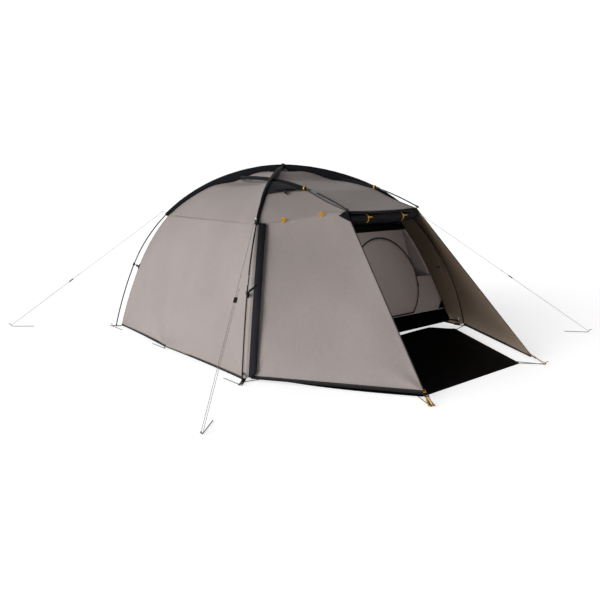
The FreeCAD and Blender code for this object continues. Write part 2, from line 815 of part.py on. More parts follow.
def foot_grommets():
    """Rolled brass rings that take the pole pins, turned as one profile and repeated."""
    body = doc.addObject("PartDesign::Body", "grommet_master")
    profile = body.newObject("Sketcher::SketchObject", "grommet_profile")
    plane = [f for f in body.Origin.OriginFeatures if f.Role == "XZ_Plane"][0]
    profile.AttachmentSupport = [(plane, "")]
    profile.MapMode = "FlatFace"
    inner, outer = dim("bore_radius") + 1.1, dim("grommet_radius")
    corners = [(inner, 0.0), (outer, 0.0), (outer, 1.1), (outer - 2.1, 1.1), (outer - 2.1, 2.9),
               (outer, 2.9), (outer, 4.0), (inner, 4.0)]
    for first, second in zip(corners, corners[1:] + corners[:1]):
        profile.addGeometry(Part.LineSegment(Vector(*first, 0), Vector(*second, 0)), False)
    turned = body.newObject("PartDesign::Revolution", "grommet_turning")
    turned.Profile = profile
    turned.ReferenceAxis = (profile, ["V_Axis"])
    turned.Angle = 360
    doc.recompute()
    rings = []
    for half in HALVES.values():
        ring = body.Shape.copy()
        ring.translate(pin_spot(half) + Vector(0, 0, TAB_HEIGHT - 1.2))
        rings.append(ring)
    keep("foot_grommets", Part.makeCompound([line_solid(r) for r in rings]))


# ---------------------------------------------------------------- pegs

def peg_wire(head, heading, lean, stub=20.0):
    """A bent wire peg: shaft along the ground, upright leaning outwards, hooked top."""
    radius = dim("peg_radius")
    ground = Vector(head.x, head.y, radius + 0.3)
    upright = unit(heading * -math.sin(lean) + Vector(0, 0, math.cos(lean)))
    bend = 5.0
    inner = ground + heading * bend
    outer = ground + upright * bend
    middle = ground + (heading + upright) * (bend * (1 - math.sqrt(0.5)) * 0.92)
    top = ground + upright * stub
    hook_bend = 4.0
    over = heading * -1
    crook = top + upright * hook_bend * 0.7 + over * hook_bend * 0.3
    hook_end = top + upright * hook_bend + over * hook_bend
    edges = [Part.LineSegment(ground + heading * dim("peg_length"), inner).toShape(),
             Part.Arc(inner, middle, outer).toShape(),
             Part.LineSegment(outer, top).toShape(),
             Part.Arc(top, crook, hook_end).toShape(),
             Part.LineSegment(hook_end, hook_end + over * 9).toShape()]
    return line_solid(pipe(edges, radius))


PEG_LEAN = math.radians(20)


def ground_pegs():
    """Pegs at the four feet and the two door corners."""
    pegs = []
    for (end, side), half in HALVES.items():
        head = pin_spot(half) - half.heading * FOOT_PEG_STEP
        inward = Vector(0, 1 if end == FRONT else -1, 0)
        pegs.append(peg_wire(head, inward, PEG_LEAN, 14.0))
    for side in (NEAR, FAR):
        pegs.append(peg_wire(side_loop(side), Vector(0, 1, 0), PEG_LEAN, 14.0))
    for side in (NEAR, FAR):
        head = at(side * dim("door_peg_half"), dim("door_peg_y"), 0)
        pegs.append(peg_wire(head, door_pull(side) * -1, PEG_LEAN, 18.0))
    keep("ground_pegs", Part.makeCompound(pegs))


def door_pull(side):
    """Flat heading in which a door corner is pulled to its peg."""
    corner = door_edge(side, 0)
    peg = at(side * dim("door_peg_half"), dim("door_peg_y"), 0)
    return unit(Vector(peg.x - corner.x, peg.y - corner.y, 0))


def corner_webbing_and_buckles():
    """Door corner pull-downs: webbing from the fly, a ladder-lock, webbing to the peg."""
    straps, buckles = [], []
    for side in (NEAR, FAR):
        corner = door_edge(side, 0)
        peg = at(side * dim("door_peg_half"), dim("door_peg_y"), 9.0)
        line = unit(peg - corner)
        across = unit(line.cross(Vector(0, 0, 1)))
        out = unit(across.cross(line))
        frame = FreeCAD.Matrix(line.x, across.x, out.x, corner.x, line.y, across.y, out.y,
                               corner.y, line.z, across.z, out.z, corner.z, 0, 0, 0, 1)
        width = 20.0
        length = (peg - corner).Length
        tab = Part.makeBox(7, width, 1.6, Vector(-1, -width / 2, 0))
        lead = Part.makeBox(length - 46.0, width, 1.6, Vector(36, -width / 2, 0))
        plate = Part.makeBox(30, width + 8, 3.4, Vector(5, -width / 2 - 4, -0.9))
        for offset in (8.0, 16.5, 25.0):
            slot = Part.makeBox(5.0, width + 1.0, 6, Vector(offset, -width / 2 - 0.5, -2))
            plate = plate.cut(slot)
        plate = plate.cut(Part.makeBox(5, width + 1, 2.0, Vector(3.5, -width / 2 - 0.5, -0.2)))
        straps.extend([tab.transformGeometry(frame), lead.transformGeometry(frame)])
        buckles.append(plate.transformGeometry(frame))
    keep("corner_webbing", Part.makeCompound([line_solid(s) for s in straps]))
    keep("corner_buckles", Part.makeCompound([line_solid(b) for b in buckles]))


# ---------------------------------------------------------------- inner tent

INNER_BASE = 12.0
INNER_SKIN = 1.6


def inner_corner(end, side, height):
    """Inner tent corner under a pole: the pole line shrunk towards the tent's middle."""
    scale = dim("inner_scale")
    half = HALVES[(end, side)]
    point = half.point(half.at_height(min(height / scale, dim("apex_height") - 2.0)))
    base = Vector(APEX.x, APEX.y, 0)
    placed = base + (Vector(point.x, point.y, 0) - base) * scale
    placed.z = height
    if end == FRONT and height < dim("inner_seam_height"):
        low = inner_anchor(INNER_BASE)
        high = inner_anchor(dim("inner_seam_height"))
        share = (height - INNER_BASE) / (dim("inner_seam_height") - INNER_BASE)
        placed.y = lerp(low, high, share)
    return placed


def inner_anchor(height):
    scale = dim("inner_scale")
    point = A_NEAR.point(A_NEAR.at_height(height / scale))
    return APEX.y + (point.y - APEX.y) * scale


INNER_TOP = 1150.0


def inner_panel(key_a, key_b, low, high, direction, rows=7):
    def place(u, w):
        height = lerp(low, high, u)
        return lerp(inner_corner(*key_a, height), inner_corner(*key_b, height), 0.006 + 0.988 * w)

    return panel(grid_of(place, rows, 5), INNER_SKIN, direction)


def inner_walls():
    seam = dim("inner_seam_height")
    base = dim("tub_height") + 2.0
    side_low = inner_panel(*NEAR_SIDE, base, seam - 1, Vector(1, 0, -0.2))
    side_high = inner_panel(*NEAR_SIDE, seam + 1, INNER_TOP, Vector(0.4, 0, -1))
    side = [side_low, side_high]
    keep("inner_side_near", Part.makeCompound(side))
    keep("inner_side_far", Part.makeCompound([mirrored(s) for s in side]))
    rear = [inner_panel(*REAR_SIDE, base, seam - 1, Vector(0, -1, -0.2)),
            inner_panel(*REAR_SIDE, seam + 1, INNER_TOP, Vector(0, -0.4, -1))]
    keep("inner_rear", Part.makeCompound(rear))
    keep("inner_roof_front", inner_panel((FRONT, NEAR), (FRONT, FAR), seam + 3, INNER_TOP,
                                         Vector(0, 0.3, -1), rows=5))


def inner_floor():
    """Bathtub groundsheet: a floor with low upright walls."""
    def outline(height, inset):
        corners = [inner_corner(end, side, height) for end, side in
                   ((FRONT, NEAR), (FRONT, FAR), (REAR, FAR), (REAR, NEAR))]
        middle = Vector(APEX.x, APEX.y, height)
        moved = [c + unit(middle - c) * inset for c in corners]
        return Part.makePolygon(moved + moved[:1])

    top = dim("tub_height")
    outer = Part.makeLoft([outline(INNER_BASE - 6, 0), outline(top, 0)], True)
    inner = Part.makeLoft([outline(INNER_BASE - 3, 3), outline(top + 0.5, 3)], True)
    keep("inner_floor", outer.cut(inner))


ARC_CENTRE, ARC_RADIUS = Vector(405, 288, 0), 345.0      # round side of the inner door
DOOR_LEFT, DOOR_BOTTOM = 60.0, 18.0


def inner_wall_frame():
    """Placement of the inner front wall's plane: x across, y up the wall's slope."""
    low, high = inner_anchor(INNER_BASE), inner_anchor(dim("inner_seam_height"))
    rise = dim("inner_seam_height") - INNER_BASE
    lean = math.atan2(high - low, rise)
    base = dim("tub_height") + 2.0
    start = lerp(low, high, (base - INNER_BASE) / rise)
    return Placement(Vector(0, start, base), Rotation(Vector(1, 0, 0), 90 - math.degrees(lean))), lean


def door_outline(shrink):
    """The D-shaped door: straight foot and hinge side, round towards the far side."""
    left, bottom = DOOR_LEFT + shrink, DOOR_BOTTOM + shrink
    radius = ARC_RADIUS - shrink
    low_left = Vector(left, bottom, 0)
    low_right = Vector(ARC_CENTRE.x + math.sqrt(radius ** 2 - (bottom - ARC_CENTRE.y) ** 2), bottom, 0)
    high_left = Vector(left, ARC_CENTRE.y + math.sqrt(radius ** 2 - (left - ARC_CENTRE.x) ** 2), 0)
    shoulder = ARC_CENTRE + Vector(radius * math.cos(0.6), radius * math.sin(0.6), 0)
    return Part.Wire([Part.LineSegment(low_left, low_right).toShape(),
                      Part.Arc(low_right, shoulder, high_left).toShape(),
                      Part.LineSegment(high_left, low_left).toShape()])


def inner_front():
    """Front wall with its D-shaped opening, the door in it and the zip round the door."""
    frame, lean = inner_wall_frame()
    base, seam = dim("tub_height") + 2.0, dim("inner_seam_height")
    slope = (seam - 2 - base) / math.cos(lean)
    right = []
    for index in range(6):
        height = lerp(base, seam - 2, index / 5)
        right.append(Vector(inner_corner(FRONT, FAR, height).x - 1.5, slope * index / 5, 0))
    curve = Part.BSplineCurve()
    curve.interpolate(right)
    left = Part.BSplineCurve()
    left.interpolate([Vector(-p.x, p.y, 0) for p in right])
    edges = [curve.toShape(), Part.LineSegment(right[-1], Vector(-right[-1].x, slope, 0)).toShape(),
             left.toShape(), Part.LineSegment(Vector(-right[0].x, 0, 0), right[0]).toShape()]
    outline = Part.Wire(Part.__sortEdges__(edges))
    wall = Part.Face(outline).cut(Part.Face(door_outline(0)))
    wall_solid = wall.extrude(Vector(0, 0, -INNER_SKIN))
    door = Part.Face(door_outline(3.0)).extrude(Vector(0, 0, -INNER_SKIN))
    chain = Part.Face(door_outline(-3.5)).cut(Part.Face(door_outline(3.5)))
    chain_solid = chain.extrude(Vector(0, 0, 1.6))
    chain_solid.translate(Vector(0, 0, 0.4))
    for label, solid in (("inner_front_wall", wall_solid), ("inner_door", door),
                         ("inner_zip", chain_solid)):
        moved = solid.copy()
        moved.Placement = frame.multiply(moved.Placement)
        keep(label, moved)
    turn = math.radians(-8)
    spot = ARC_CENTRE + Vector(ARC_RADIUS * math.cos(turn), ARC_RADIUS * math.sin(turn), 0)
    along = Vector(-math.sin(turn), math.cos(turn), 0)
    across = Vector(math.cos(turn), math.sin(turn), 0)
    slider = slider_solid(spot + Vector(0, 0, 2.6), along, across, Vector(0, 0, 1))
    slider.Placement = frame.multiply(slider.Placement)
    keep("inner_zip_slider", slider)


# ---------------------------------------------------------------- ground sheet and hem

def footprint():
    """Groundsheet that runs out under the vestibule, a padded sketch."""
    body = doc.addObject("PartDesign::Body", "footprint")
    body.Label = "footprint"
    outline = body.newObject("Sketcher::SketchObject", "footprint_outline")
    plane = [f for f in body.Origin.OriginFeatures if f.Role == "XY_Plane"][0]
    outline.AttachmentSupport = [(plane, "")]
    outline.MapMode = "FlatFace"
    scale = 0.965
    corners = []
    for side in (NEAR, FAR):
        front = inner_corner(FRONT, side, INNER_BASE)
        rear = inner_corner(REAR, side, INNER_BASE)
        row = [Vector(rear.x * scale, rear.y - 20, 0), Vector(front.x * scale, front.y, 0),
               at(side * 455, -840, 0)]
        corners.extend(row if side == NEAR else row[::-1])
    for first, second in zip(corners, corners[1:] + corners[:1]):
        outline.addGeometry(Part.LineSegment(first, second), False)
    pad = body.newObject("PartDesign::Pad", "footprint_cloth")
    pad.Profile = outline
    pad.setExpression("Length", "dimensions.footprint_edge")
    parts.append(body)


def hem_tapes():
    """Bound edges along the bottom of the fly: sides, rear and vestibule."""
    lower = ruled_between(*NEAR_SIDE, hem_distances(*NEAR_SIDE), seam_distances(*NEAR_SIDE), 12, 8)
    rear = ruled_between(*REAR_SIDE, hem_distances(*REAR_SIDE), seam_distances(*REAR_SIDE), 12, 8)
    runs = []
    for place, out in ((lower, Vector(-1, 0, 0)), (rear, Vector(0, 1, 0))):
        points = [place(0, 0.02 + 0.96 * j / 8) + Vector(0, 0, -2) + out * 0.6 for j in range(9)]
        runs.append(ribbon(points, Vector(0, 0, 1), 12.0, 1.4, out))
    rear_edge, front_edge = zip_point(0.0)[0], door_edge(NEAR, 0.0)
    out = unit((front_edge - rear_edge).cross(Vector(0, 0, 1)))
    out = out if out.x < 0 else out * -1
    points = [lerp(rear_edge, front_edge, 0.03 + 0.94 * j / 3) + Vector(0, 0, -2) + out * 0.8
              for j in range(4)]
    runs.append(ribbon(points, Vector(0, 0, 1), 12.0, 1.4, out))
    side, back, vestibule = runs
    keep("hem_tapes", Part.makeCompound([side, mirrored(side), back, vestibule,
                                         mirrored(vestibule)]))


# ---------------------------------------------------------------- guylines

GUY_PEGS = {
    (FRONT, NEAR): at(-1730, -500, 0),
    (FRONT, FAR): at(1700, -760, 0),
    (REAR, NEAR): at(-1705, 2456, 0),
    (REAR, FAR): at(1705, 2456, 0),
}
RUNNER_SHARE = {(FRONT, NEAR): 0.45, (FRONT, FAR): 0.55, (REAR, NEAR): 0.60, (REAR, FAR): 0.58}
STRAND = 4.8
LOOP_HEIGHT = 10.5
LOOP_END = 4.6
TAIL = 90.0
RING_RADIUS = 9.0


def guy_exit(key):
    """Point on a sleeve end's ring where the guyline is tied."""
    half = HALVES[key]
    return half.point(SLEEVE_START[key] + 8) + half.outward(SLEEVE_START[key]) * 34.0


def guy_frame(key):
    """Start, loop centre, direction down the line and sideways direction."""
    start = guy_exit(key)
    hook = GUY_PEGS[key] + Vector(0, 0, LOOP_HEIGHT)
    down = unit(hook - start)
    across = unit(down.cross(Vector(0, 0, 1)))
    return start, hook, down, across


def guy_tie(key):
    """Where the line proper begins, just off its ring and in line with the long strand."""
    start, _, down, across = guy_frame(key)
    return start + down * (RING_RADIUS + 4) + across * STRAND


def rounded_path(points):
    """Straight runs joined by tangent arcs, each as large as its shorter run allows."""
    edges, radii = [], []
    previous = points[0]
    for before, corner, after in zip(points[:-2], points[1:-1], points[2:]):
        a, b = unit(before - corner), unit(after - corner)
        half_turn = (math.pi - a.getAngle(b)) / 2
        setback = 0.45 * min((before - corner).Length, (after - corner).Length)
        radius = setback / math.tan(half_turn)
        radii.append(radius)
        enter, leave = corner + a * setback, corner + b * setback
        centre = corner + unit(a + b) * math.hypot(radius, setback)
        middle = centre + unit(corner - centre) * radius
        edges.append(Part.LineSegment(previous, enter).toShape())
        edges.append(Part.Arc(enter, middle, leave).toShape())
        previous = leave
    edges.append(Part.LineSegment(previous, points[-1]).toShape())
    return edges, radii


def guylines():
    """Taut lines: down to the peg, round its upright, and back up through the runner."""
    for key in GUY_PEGS:
        start, hook, down, across = guy_frame(key)
        span = (hook - start).Length
        back = hook + down * LOOP_END - down * (span * (1 - RUNNER_SHARE[key]) + TAIL)
        points = [guy_tie(key), hook + down * LOOP_END + across * STRAND,
                  hook + down * LOOP_END - across * STRAND, back - across * STRAND]
        edges, radii = rounded_path(points)
        solid = line_solid(pipe(edges, dim("guy_radius")))
        length = sum(edge.Length for edge in edges)
        section = math.pi * dim("guy_radius") ** 2
        label = "guyline_%s_%s" % (key[0], "near" if key[1] == NEAR else "far")
        print(label, "length %.0f" % length, "volume ratio %.4f" % (solid.Volume / section / length),
              "radii", ["%.1f" % r for r in radii])
        print("   points", [(round(p.x, 1), round(p.y, 1), round(p.z, 1)) for p in points])
        keep(label, solid)


def guy_runners():
    """Two-hole line tensioners, one on each guyline."""
    for key in GUY_PEGS:
        start, hook, down, across = guy_frame(key)
        span = (hook - start).Length
        middle = start + down * (span * RUNNER_SHARE[key])
        out = unit(across.cross(down))
        frame = FreeCAD.Matrix(down.x, across.x, out.x, middle.x, down.y, across.y, out.y,
                               middle.y, down.z, across.z, out.z, middle.z, 0, 0, 0, 1)
        length, thick = dim("runner_length"), dim("runner_thickness")
        block = Part.makeBox(length, dim("runner_width"), thick,
                             Vector(-length / 2, -dim("runner_width") / 2, -thick / 2))
        bores = [Part.makeCylinder(dim("guy_radius") + 0.5, length + 2, Vector(-length / 2 - 1, y, 0),
                                   Vector(1, 0, 0)) for y in (STRAND, -STRAND)]
        waist = Part.makeCylinder(5.5, dim("runner_width") + 2,
                                  Vector(0, -dim("runner_width") / 2 - 1, thick / 2 + 3.6),
                                  Vector(0, 1, 0))
        solid = block.cut(bores[0]).cut(bores[1]).cut(waist)
        label = "runner_%s_%s" % (key[0], "near" if key[1] == NEAR else "far")
        keep(label, solid.transformGeometry(frame))


def guy_pegs():
    pegs = []
    for key in GUY_PEGS:
        _, hook, down, _ = guy_frame(key)
        inward = unit(Vector(-down.x, -down.y, 0))
        lean = math.asin(-down.z)
        upright = unit(inward * -math.sin(lean) + Vector(0, 0, math.cos(lean)))
        rise = (LOOP_HEIGHT - dim("peg_radius") - 0.3) / upright.z
        base = hook - upright * rise
        pegs.append(peg_wire(base, inward, lean, 22.0))
    keep("guy_pegs", Part.makeCompound(pegs))


def guy_rings():
    """Webbing tab and ring at the end of each sleeve, where a guyline is tied."""
    rings = []
    for key, half in HALVES.items():
        start = SLEEVE_START[key]
        spot = half.point(start + 8)
        out = half.outward(start)
        down = guy_frame(key)[2]
        centre = guy_exit(key)
        ring = Part.makeTorus(RING_RADIUS, 1.5, centre, unit(down.cross(half.tangent(start))))
        tab = Part.makeBox(14, 12, 1.6, Vector(0, -6, -0.8))
        tab.Placement = Placement(spot + out * (dim("sleeve_radius") + 0.3), Rotation(Vector(1, 0, 0), out))
        rings.append(ring.cut(tab))
        rings.append(tab.cut(ring))
    solids = [s for shape in rings for s in shape.Solids]
    keep("guy_rings", Part.makeCompound(solids))


# ---------------------------------------------------------------- build

def report_box():
    """Prints the extents along the tent, which should be equal before and behind."""
    low = min(item.Shape.BoundBox.YMin for item in parts)
    high = max(item.Shape.BoundBox.YMax for item in parts)
    print("extent along the tent", round(low, 2), round(high, 2))


def build():
    crossing_pole("pole_a_tubes", NEAR)
    crossing_pole("pole_b_tubes", FAR)
    brow_pole_tubes()
    pole_ferrules()
    pole_shock_cords()
    pole_end_fittings()
    pole_sleeve("sleeve_a", NEAR)
    pole_sleeve("sleeve_b", FAR)
    brow_sleeve()
    leg_clips()
    foot_webbing()
    foot_grommets()
    guy_rings()
    fly_sides()
    fly_rear()
    fly_front_roof()
    vestibule_walls()
    vestibule_uppers()
    vent_hoods()
    vent_props()
    side_zips()
    zip_flaps()
    side_zip_sliders()
    rolled_door()
    toggle_straps()
    door_toggles()
    side_toggles()
    corner_webbing_and_buckles()
    footprint()
    inner_floor()
    inner_walls()
    inner_front()
    hem_tapes()
    ground_pegs()
    report_box()
    guylines()
    guy_runners()
    guy_pegs()


build()
doc.recompute()
os.makedirs("parts", exist_ok=True)
for item in doc.Objects:
    if "Invalid" in item.State or "Error" in item.State:
        raise RuntimeError("failed object " + item.Label)
for item in parts:
    if item.Shape.isNull() or not item.Shape.isValid():
        raise RuntimeError("bad shape " + item.Label)
    item.Shape.exportStep("parts/%s.step" % item.Label)
print(len(parts), "nodes")
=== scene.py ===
import math

import bpy
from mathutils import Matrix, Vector, noise


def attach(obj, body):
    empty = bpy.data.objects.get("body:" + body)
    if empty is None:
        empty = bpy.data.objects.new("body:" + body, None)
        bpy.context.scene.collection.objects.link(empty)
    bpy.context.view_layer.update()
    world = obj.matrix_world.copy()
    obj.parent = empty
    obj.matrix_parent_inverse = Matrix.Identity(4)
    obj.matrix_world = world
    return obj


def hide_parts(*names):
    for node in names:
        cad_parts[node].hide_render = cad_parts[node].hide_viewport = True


# A crossed-pole dome tent with a horseshoe brow pole and an open front vestibule.
# X runs across the tent (-X is the near side), -Y is the door end, Z is up, metres.

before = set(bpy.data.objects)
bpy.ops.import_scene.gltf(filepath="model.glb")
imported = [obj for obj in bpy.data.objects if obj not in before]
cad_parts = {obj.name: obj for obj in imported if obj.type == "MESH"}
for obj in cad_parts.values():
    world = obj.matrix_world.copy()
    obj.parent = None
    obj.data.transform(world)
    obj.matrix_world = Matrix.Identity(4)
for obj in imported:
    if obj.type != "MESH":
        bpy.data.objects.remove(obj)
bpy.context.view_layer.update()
scene = bpy.context.scene
SHELTER = "shelter"
NEAR, FAR = -1, 1
FRONT, REAR = "front", "rear"
UP = Vector((0, 0, 1))
ACROSS, BACKWARD, FORWARD = Vector((1, 0, 0)), Vector((0, 1, 0)), Vector((0, -1, 0))


def link(obj):
    scene.collection.objects.link(obj)
    return obj


def steps(count):
    """Even shares from 0 to 1."""
    return [i / count for i in range(count + 1)]


def circle(count):
    """Even angles round a whole turn."""
    return [2 * math.pi * k / count for k in range(count)]


def lerp(a, b, t):
    return a + (b - a) * t


def straight(a, b):
    """Nine points from a to b."""
    return [lerp(a, b, t) for t in steps(8)]


def eased(t):
    t = min(1.0, max(0.0, t))
    return t * t * (3 - 2 * t)


def direction(x, y, z):
    return Vector((x, y, z)).normalized()


def thicken(piece, thickness):
    piece.modifiers.new("thickness", "SOLIDIFY").thickness = thickness


# ---------------------------------------------------------------- camera

camera = link(bpy.data.objects.new("camera", bpy.data.cameras.new("camera")))
camera.data.lens = 37.944
camera.data.sensor_width = 36.0
camera.data.clip_end = 200.0
camera.location = (-3.23557, -3.42093, 1.205)
camera.rotation_euler = Vector((0.6428, 0.7423, -0.1894)).to_track_quat("-Z", "Y").to_euler()
scene.camera = camera

# ---------------------------------------------------------------- materials


class Nodes:
    """Short ways to add nodes to a material's or a world's tree."""

    def __init__(self, tree):
        self.nodes, self.links = tree.nodes, tree.links

    def add(self, kind, inputs=None, **settings):
        node = self.nodes.new(kind)
        for key, value in settings.items():
            setattr(node, key, value)
        for key, value in (inputs or {}).items():
            self.plug(node.inputs[key], value)
        return node

    def plug(self, socket, value):
        if isinstance(value, bpy.types.NodeSocket):
            self.links.new(value, socket)
        else:
            socket.default_value = value

    def math(self, operation, *values):
        node = self.nodes.new("ShaderNodeMath")
        node.operation = operation
        for socket, value in zip(node.inputs, values):
            self.plug(socket, value)
        return node.outputs[0]

    def place(self, kind="Object"):
        return self.add("ShaderNodeTexCoord").outputs[kind]

    def noise(self, scale, detail=3.0):
        return self.add("ShaderNodeTexNoise", {"Vector": self.place(), "Scale": scale,
                                               "Detail": detail}).outputs["Fac"]

    def ranged(self, value, low, high, start=0.0, stop=1.0):
        return self.add("ShaderNodeMapRange", {"Value": value, "From Min": start, "From Max": stop,
                                               "To Min": low, "To Max": high}).outputs[0]

    def wave(self, direction, pitch, kind="UV", distortion=0.0):
        inputs = {"Vector": self.place(kind), "Scale": math.pi / (10 * pitch),
                  "Distortion": distortion}
        return self.add("ShaderNodeTexWave", inputs, bands_direction=direction).outputs["Fac"]

    def tint(self, colour, value):
        """The colour, made lighter and darker by a value about one."""
        return self.add("ShaderNodeHueSaturation", {"Value": value,
                                                    "Color": (*colour, 1)}).outputs[0]

    def blend(self, factor, first, second):
        node = self.nodes.new("ShaderNodeMix")
        node.data_type = "RGBA"
        self.plug(node.inputs["Factor"], factor)
        colours = [s for s in node.inputs if s.type == "RGBA"]
        for socket, value in zip(colours, (first, second)):
            self.plug(socket, value if isinstance(value, bpy.types.NodeSocket) else (*value, 1))
        return [s for s in node.outputs if s.type == "RGBA"][0]


class Paint(Nodes):
    """A Principled material."""

    def __init__(self, name):
        self.material = bpy.data.materials.new(name)
        self.material.use_nodes = True
        super().__init__(self.material.node_tree)
        self.shader = self.nodes["Principled BSDF"]

    def bump(self, height, strength, distance):
        node = self.add("ShaderNodeBump", {"Height": height, "Strength": strength,
                                           "Distance": distance})
        self.plug(self.shader.inputs["Normal"], node.outputs[0])

    def set(self, **values):
        for key, value in values.items():
            self.plug(self.shader.inputs[key.replace("_", " ")], value)
        return self.material


def cloth(name, colour, roughness, pitch=0.0009, ripstop=0.0, sheen=0.0, crumple=0.5, dust=0.0,
          gloss=0.10):
    """Woven cloth: crossing threads, an optional ripstop grid, mottling, dust near the ground."""
    paint = Paint(name)
    threads = paint.math("ADD", paint.wave("X", pitch), paint.wave("Y", pitch))
    large, fine = paint.noise(1.7, 4.0), paint.noise(55.0, 5.0)
    value = paint.math("ADD", paint.ranged(large, 0.93, 1.07, 0.3, 0.7),
                       paint.ranged(fine, -0.035, 0.035, 0.3, 0.7))
    value = paint.math("ADD", value, paint.ranged(threads, -0.03, 0.03, 0.0, 2.0))
    height = paint.math("MULTIPLY", threads, 0.25)
    if ripstop:
        grid = paint.math("MAXIMUM", paint.wave("X", ripstop), paint.wave("Y", ripstop))
        lines = paint.ranged(grid, 0.0, 1.0, 0.975, 1.0)
        value = paint.math("ADD", value, paint.math("MULTIPLY", lines, 0.05))
        height = paint.math("ADD", height, paint.math("MULTIPLY", lines, 0.5))
    height = paint.math("ADD", height, paint.math("MULTIPLY", paint.noise(26.0, 6.0), crumple))
    shade = paint.tint(colour, value)
    if dust:
        level = paint.add("ShaderNodeSeparateXYZ", {"Vector": paint.place()}).outputs["Z"]
        near_ground = paint.math("MULTIPLY", paint.ranged(level, dust, 0.0, 0.0, 0.16),
                                 paint.noise(14.0, 6.0))
        shade = paint.blend(near_ground, shade, (0.17, 0.145, 0.12))
    paint.bump(height, 0.35, 0.0006)
    return paint.set(Base_Color=shade, Roughness=paint.ranged(fine, roughness - 0.05,
                                                              roughness + 0.06),
                     Sheen_Weight=sheen, Sheen_Roughness=0.45, Specular_IOR_Level=gloss)


def webbing(name, colour, pitch=0.0017, stitch=0.0, thread=(0.10, 0.10, 0.11)):
    """Ribbed woven tape with lengthways ribs and, if asked, two rows of lock stitch."""
    paint = Paint(name)
    ribs = paint.math("ADD", paint.wave("X", pitch), paint.wave("Y", pitch * 0.7))
    fine = paint.noise(90.0, 4.0)
    value = paint.math("ADD", paint.ranged(ribs, 0.78, 1.12, 0.0, 2.0),
                       paint.ranged(fine, -0.08, 0.08, 0.3, 0.7))
    shade = paint.tint(colour, value)
    height = ribs
    if stitch:
        where = paint.add("ShaderNodeSeparateXYZ", {"Vector": paint.place("UV")})
        from_row = paint.math("ABSOLUTE", paint.math("SUBTRACT", paint.math(
            "ABSOLUTE", where.outputs["X"]), stitch))
        in_row = paint.math("LESS_THAN", from_row, 0.0005)
        in_dash = paint.math("LESS_THAN", paint.math("FRACT", paint.math(
            "MULTIPLY", where.outputs["Y"], 220.0)), 0.68)
        sewn = paint.math("MULTIPLY", in_row, in_dash)
        shade = paint.blend(sewn, shade, thread)
        height = paint.math("ADD", height, paint.math("MULTIPLY", sewn, 2.5))
    paint.bump(height, 0.6, 0.0004)
    return paint.set(Base_Color=shade, Roughness=paint.ranged(fine, 0.55, 0.75),
                     Specular_IOR_Level=0.12)


def netting(name, colour):
    """Close insect net: a fine open grid that reads almost solid from a distance."""
    paint = Paint(name)
    holes = paint.math("MULTIPLY", paint.wave("X", 0.0016), paint.wave("Y", 0.0016))
    shade = paint.blend(paint.ranged(holes, 0.0, 1.0, 0.2, 0.7), colour, (0.004, 0.004, 0.005))
    paint.bump(paint.math("SUBTRACT", 1.0, holes), 0.8, 0.0005)
    return paint.set(Base_Color=shade, Roughness=paint.ranged(paint.noise(30.0), 0.7, 0.9),
                     Specular_IOR_Level=0.06)


def solid(name, colour, roughness, metallic=0.0, grain=700.0, wear=None):
    """Moulded plastic, painted or bare metal: fine grain, blotched roughness, worn patches."""
    paint = Paint(name)
    blotch, fine = paint.noise(38.0, 6.0), paint.noise(grain, 2.0)
    shade = paint.tint(colour, paint.ranged(blotch, 0.82, 1.16, 0.3, 0.7))
    if wear:
        rubbed = paint.ranged(paint.noise(120.0, 8.0), 0.0, 0.8, 0.62, 0.72)
        shade = paint.blend(rubbed, shade, wear)
    paint.bump(fine, 0.25, 0.0002)
    return paint.set(Base_Color=shade, Metallic=metallic,
                     Specular_IOR_Level=0.5 if metallic else 0.22,
                     Roughness=paint.ranged(blotch, roughness - 0.08, roughness + 0.10, 0.3, 0.7))


def braid(name, colour, fleck):
    """Braided cord: two crossing spirals of strands with darker tracer flecks."""
    paint = Paint(name)
    left = paint.wave("DIAGONAL", 0.0022, "Object")
    right = paint.wave("Z", 0.0017, "Object", 2.0)
    strands = paint.math("ADD", left, right)
    tracer = paint.ranged(paint.noise(300.0, 1.0), 0.0, 1.0, 0.55, 0.62)
    lit = paint.tint(colour, paint.ranged(strands, 0.8, 1.15, 0.0, 2.0))
    shade = paint.blend(tracer, lit, fleck)
    paint.bump(strands, 0.6, 0.0003)
    return paint.set(Base_Color=shade, Roughness=0.6, Sheen_Weight=0.1)


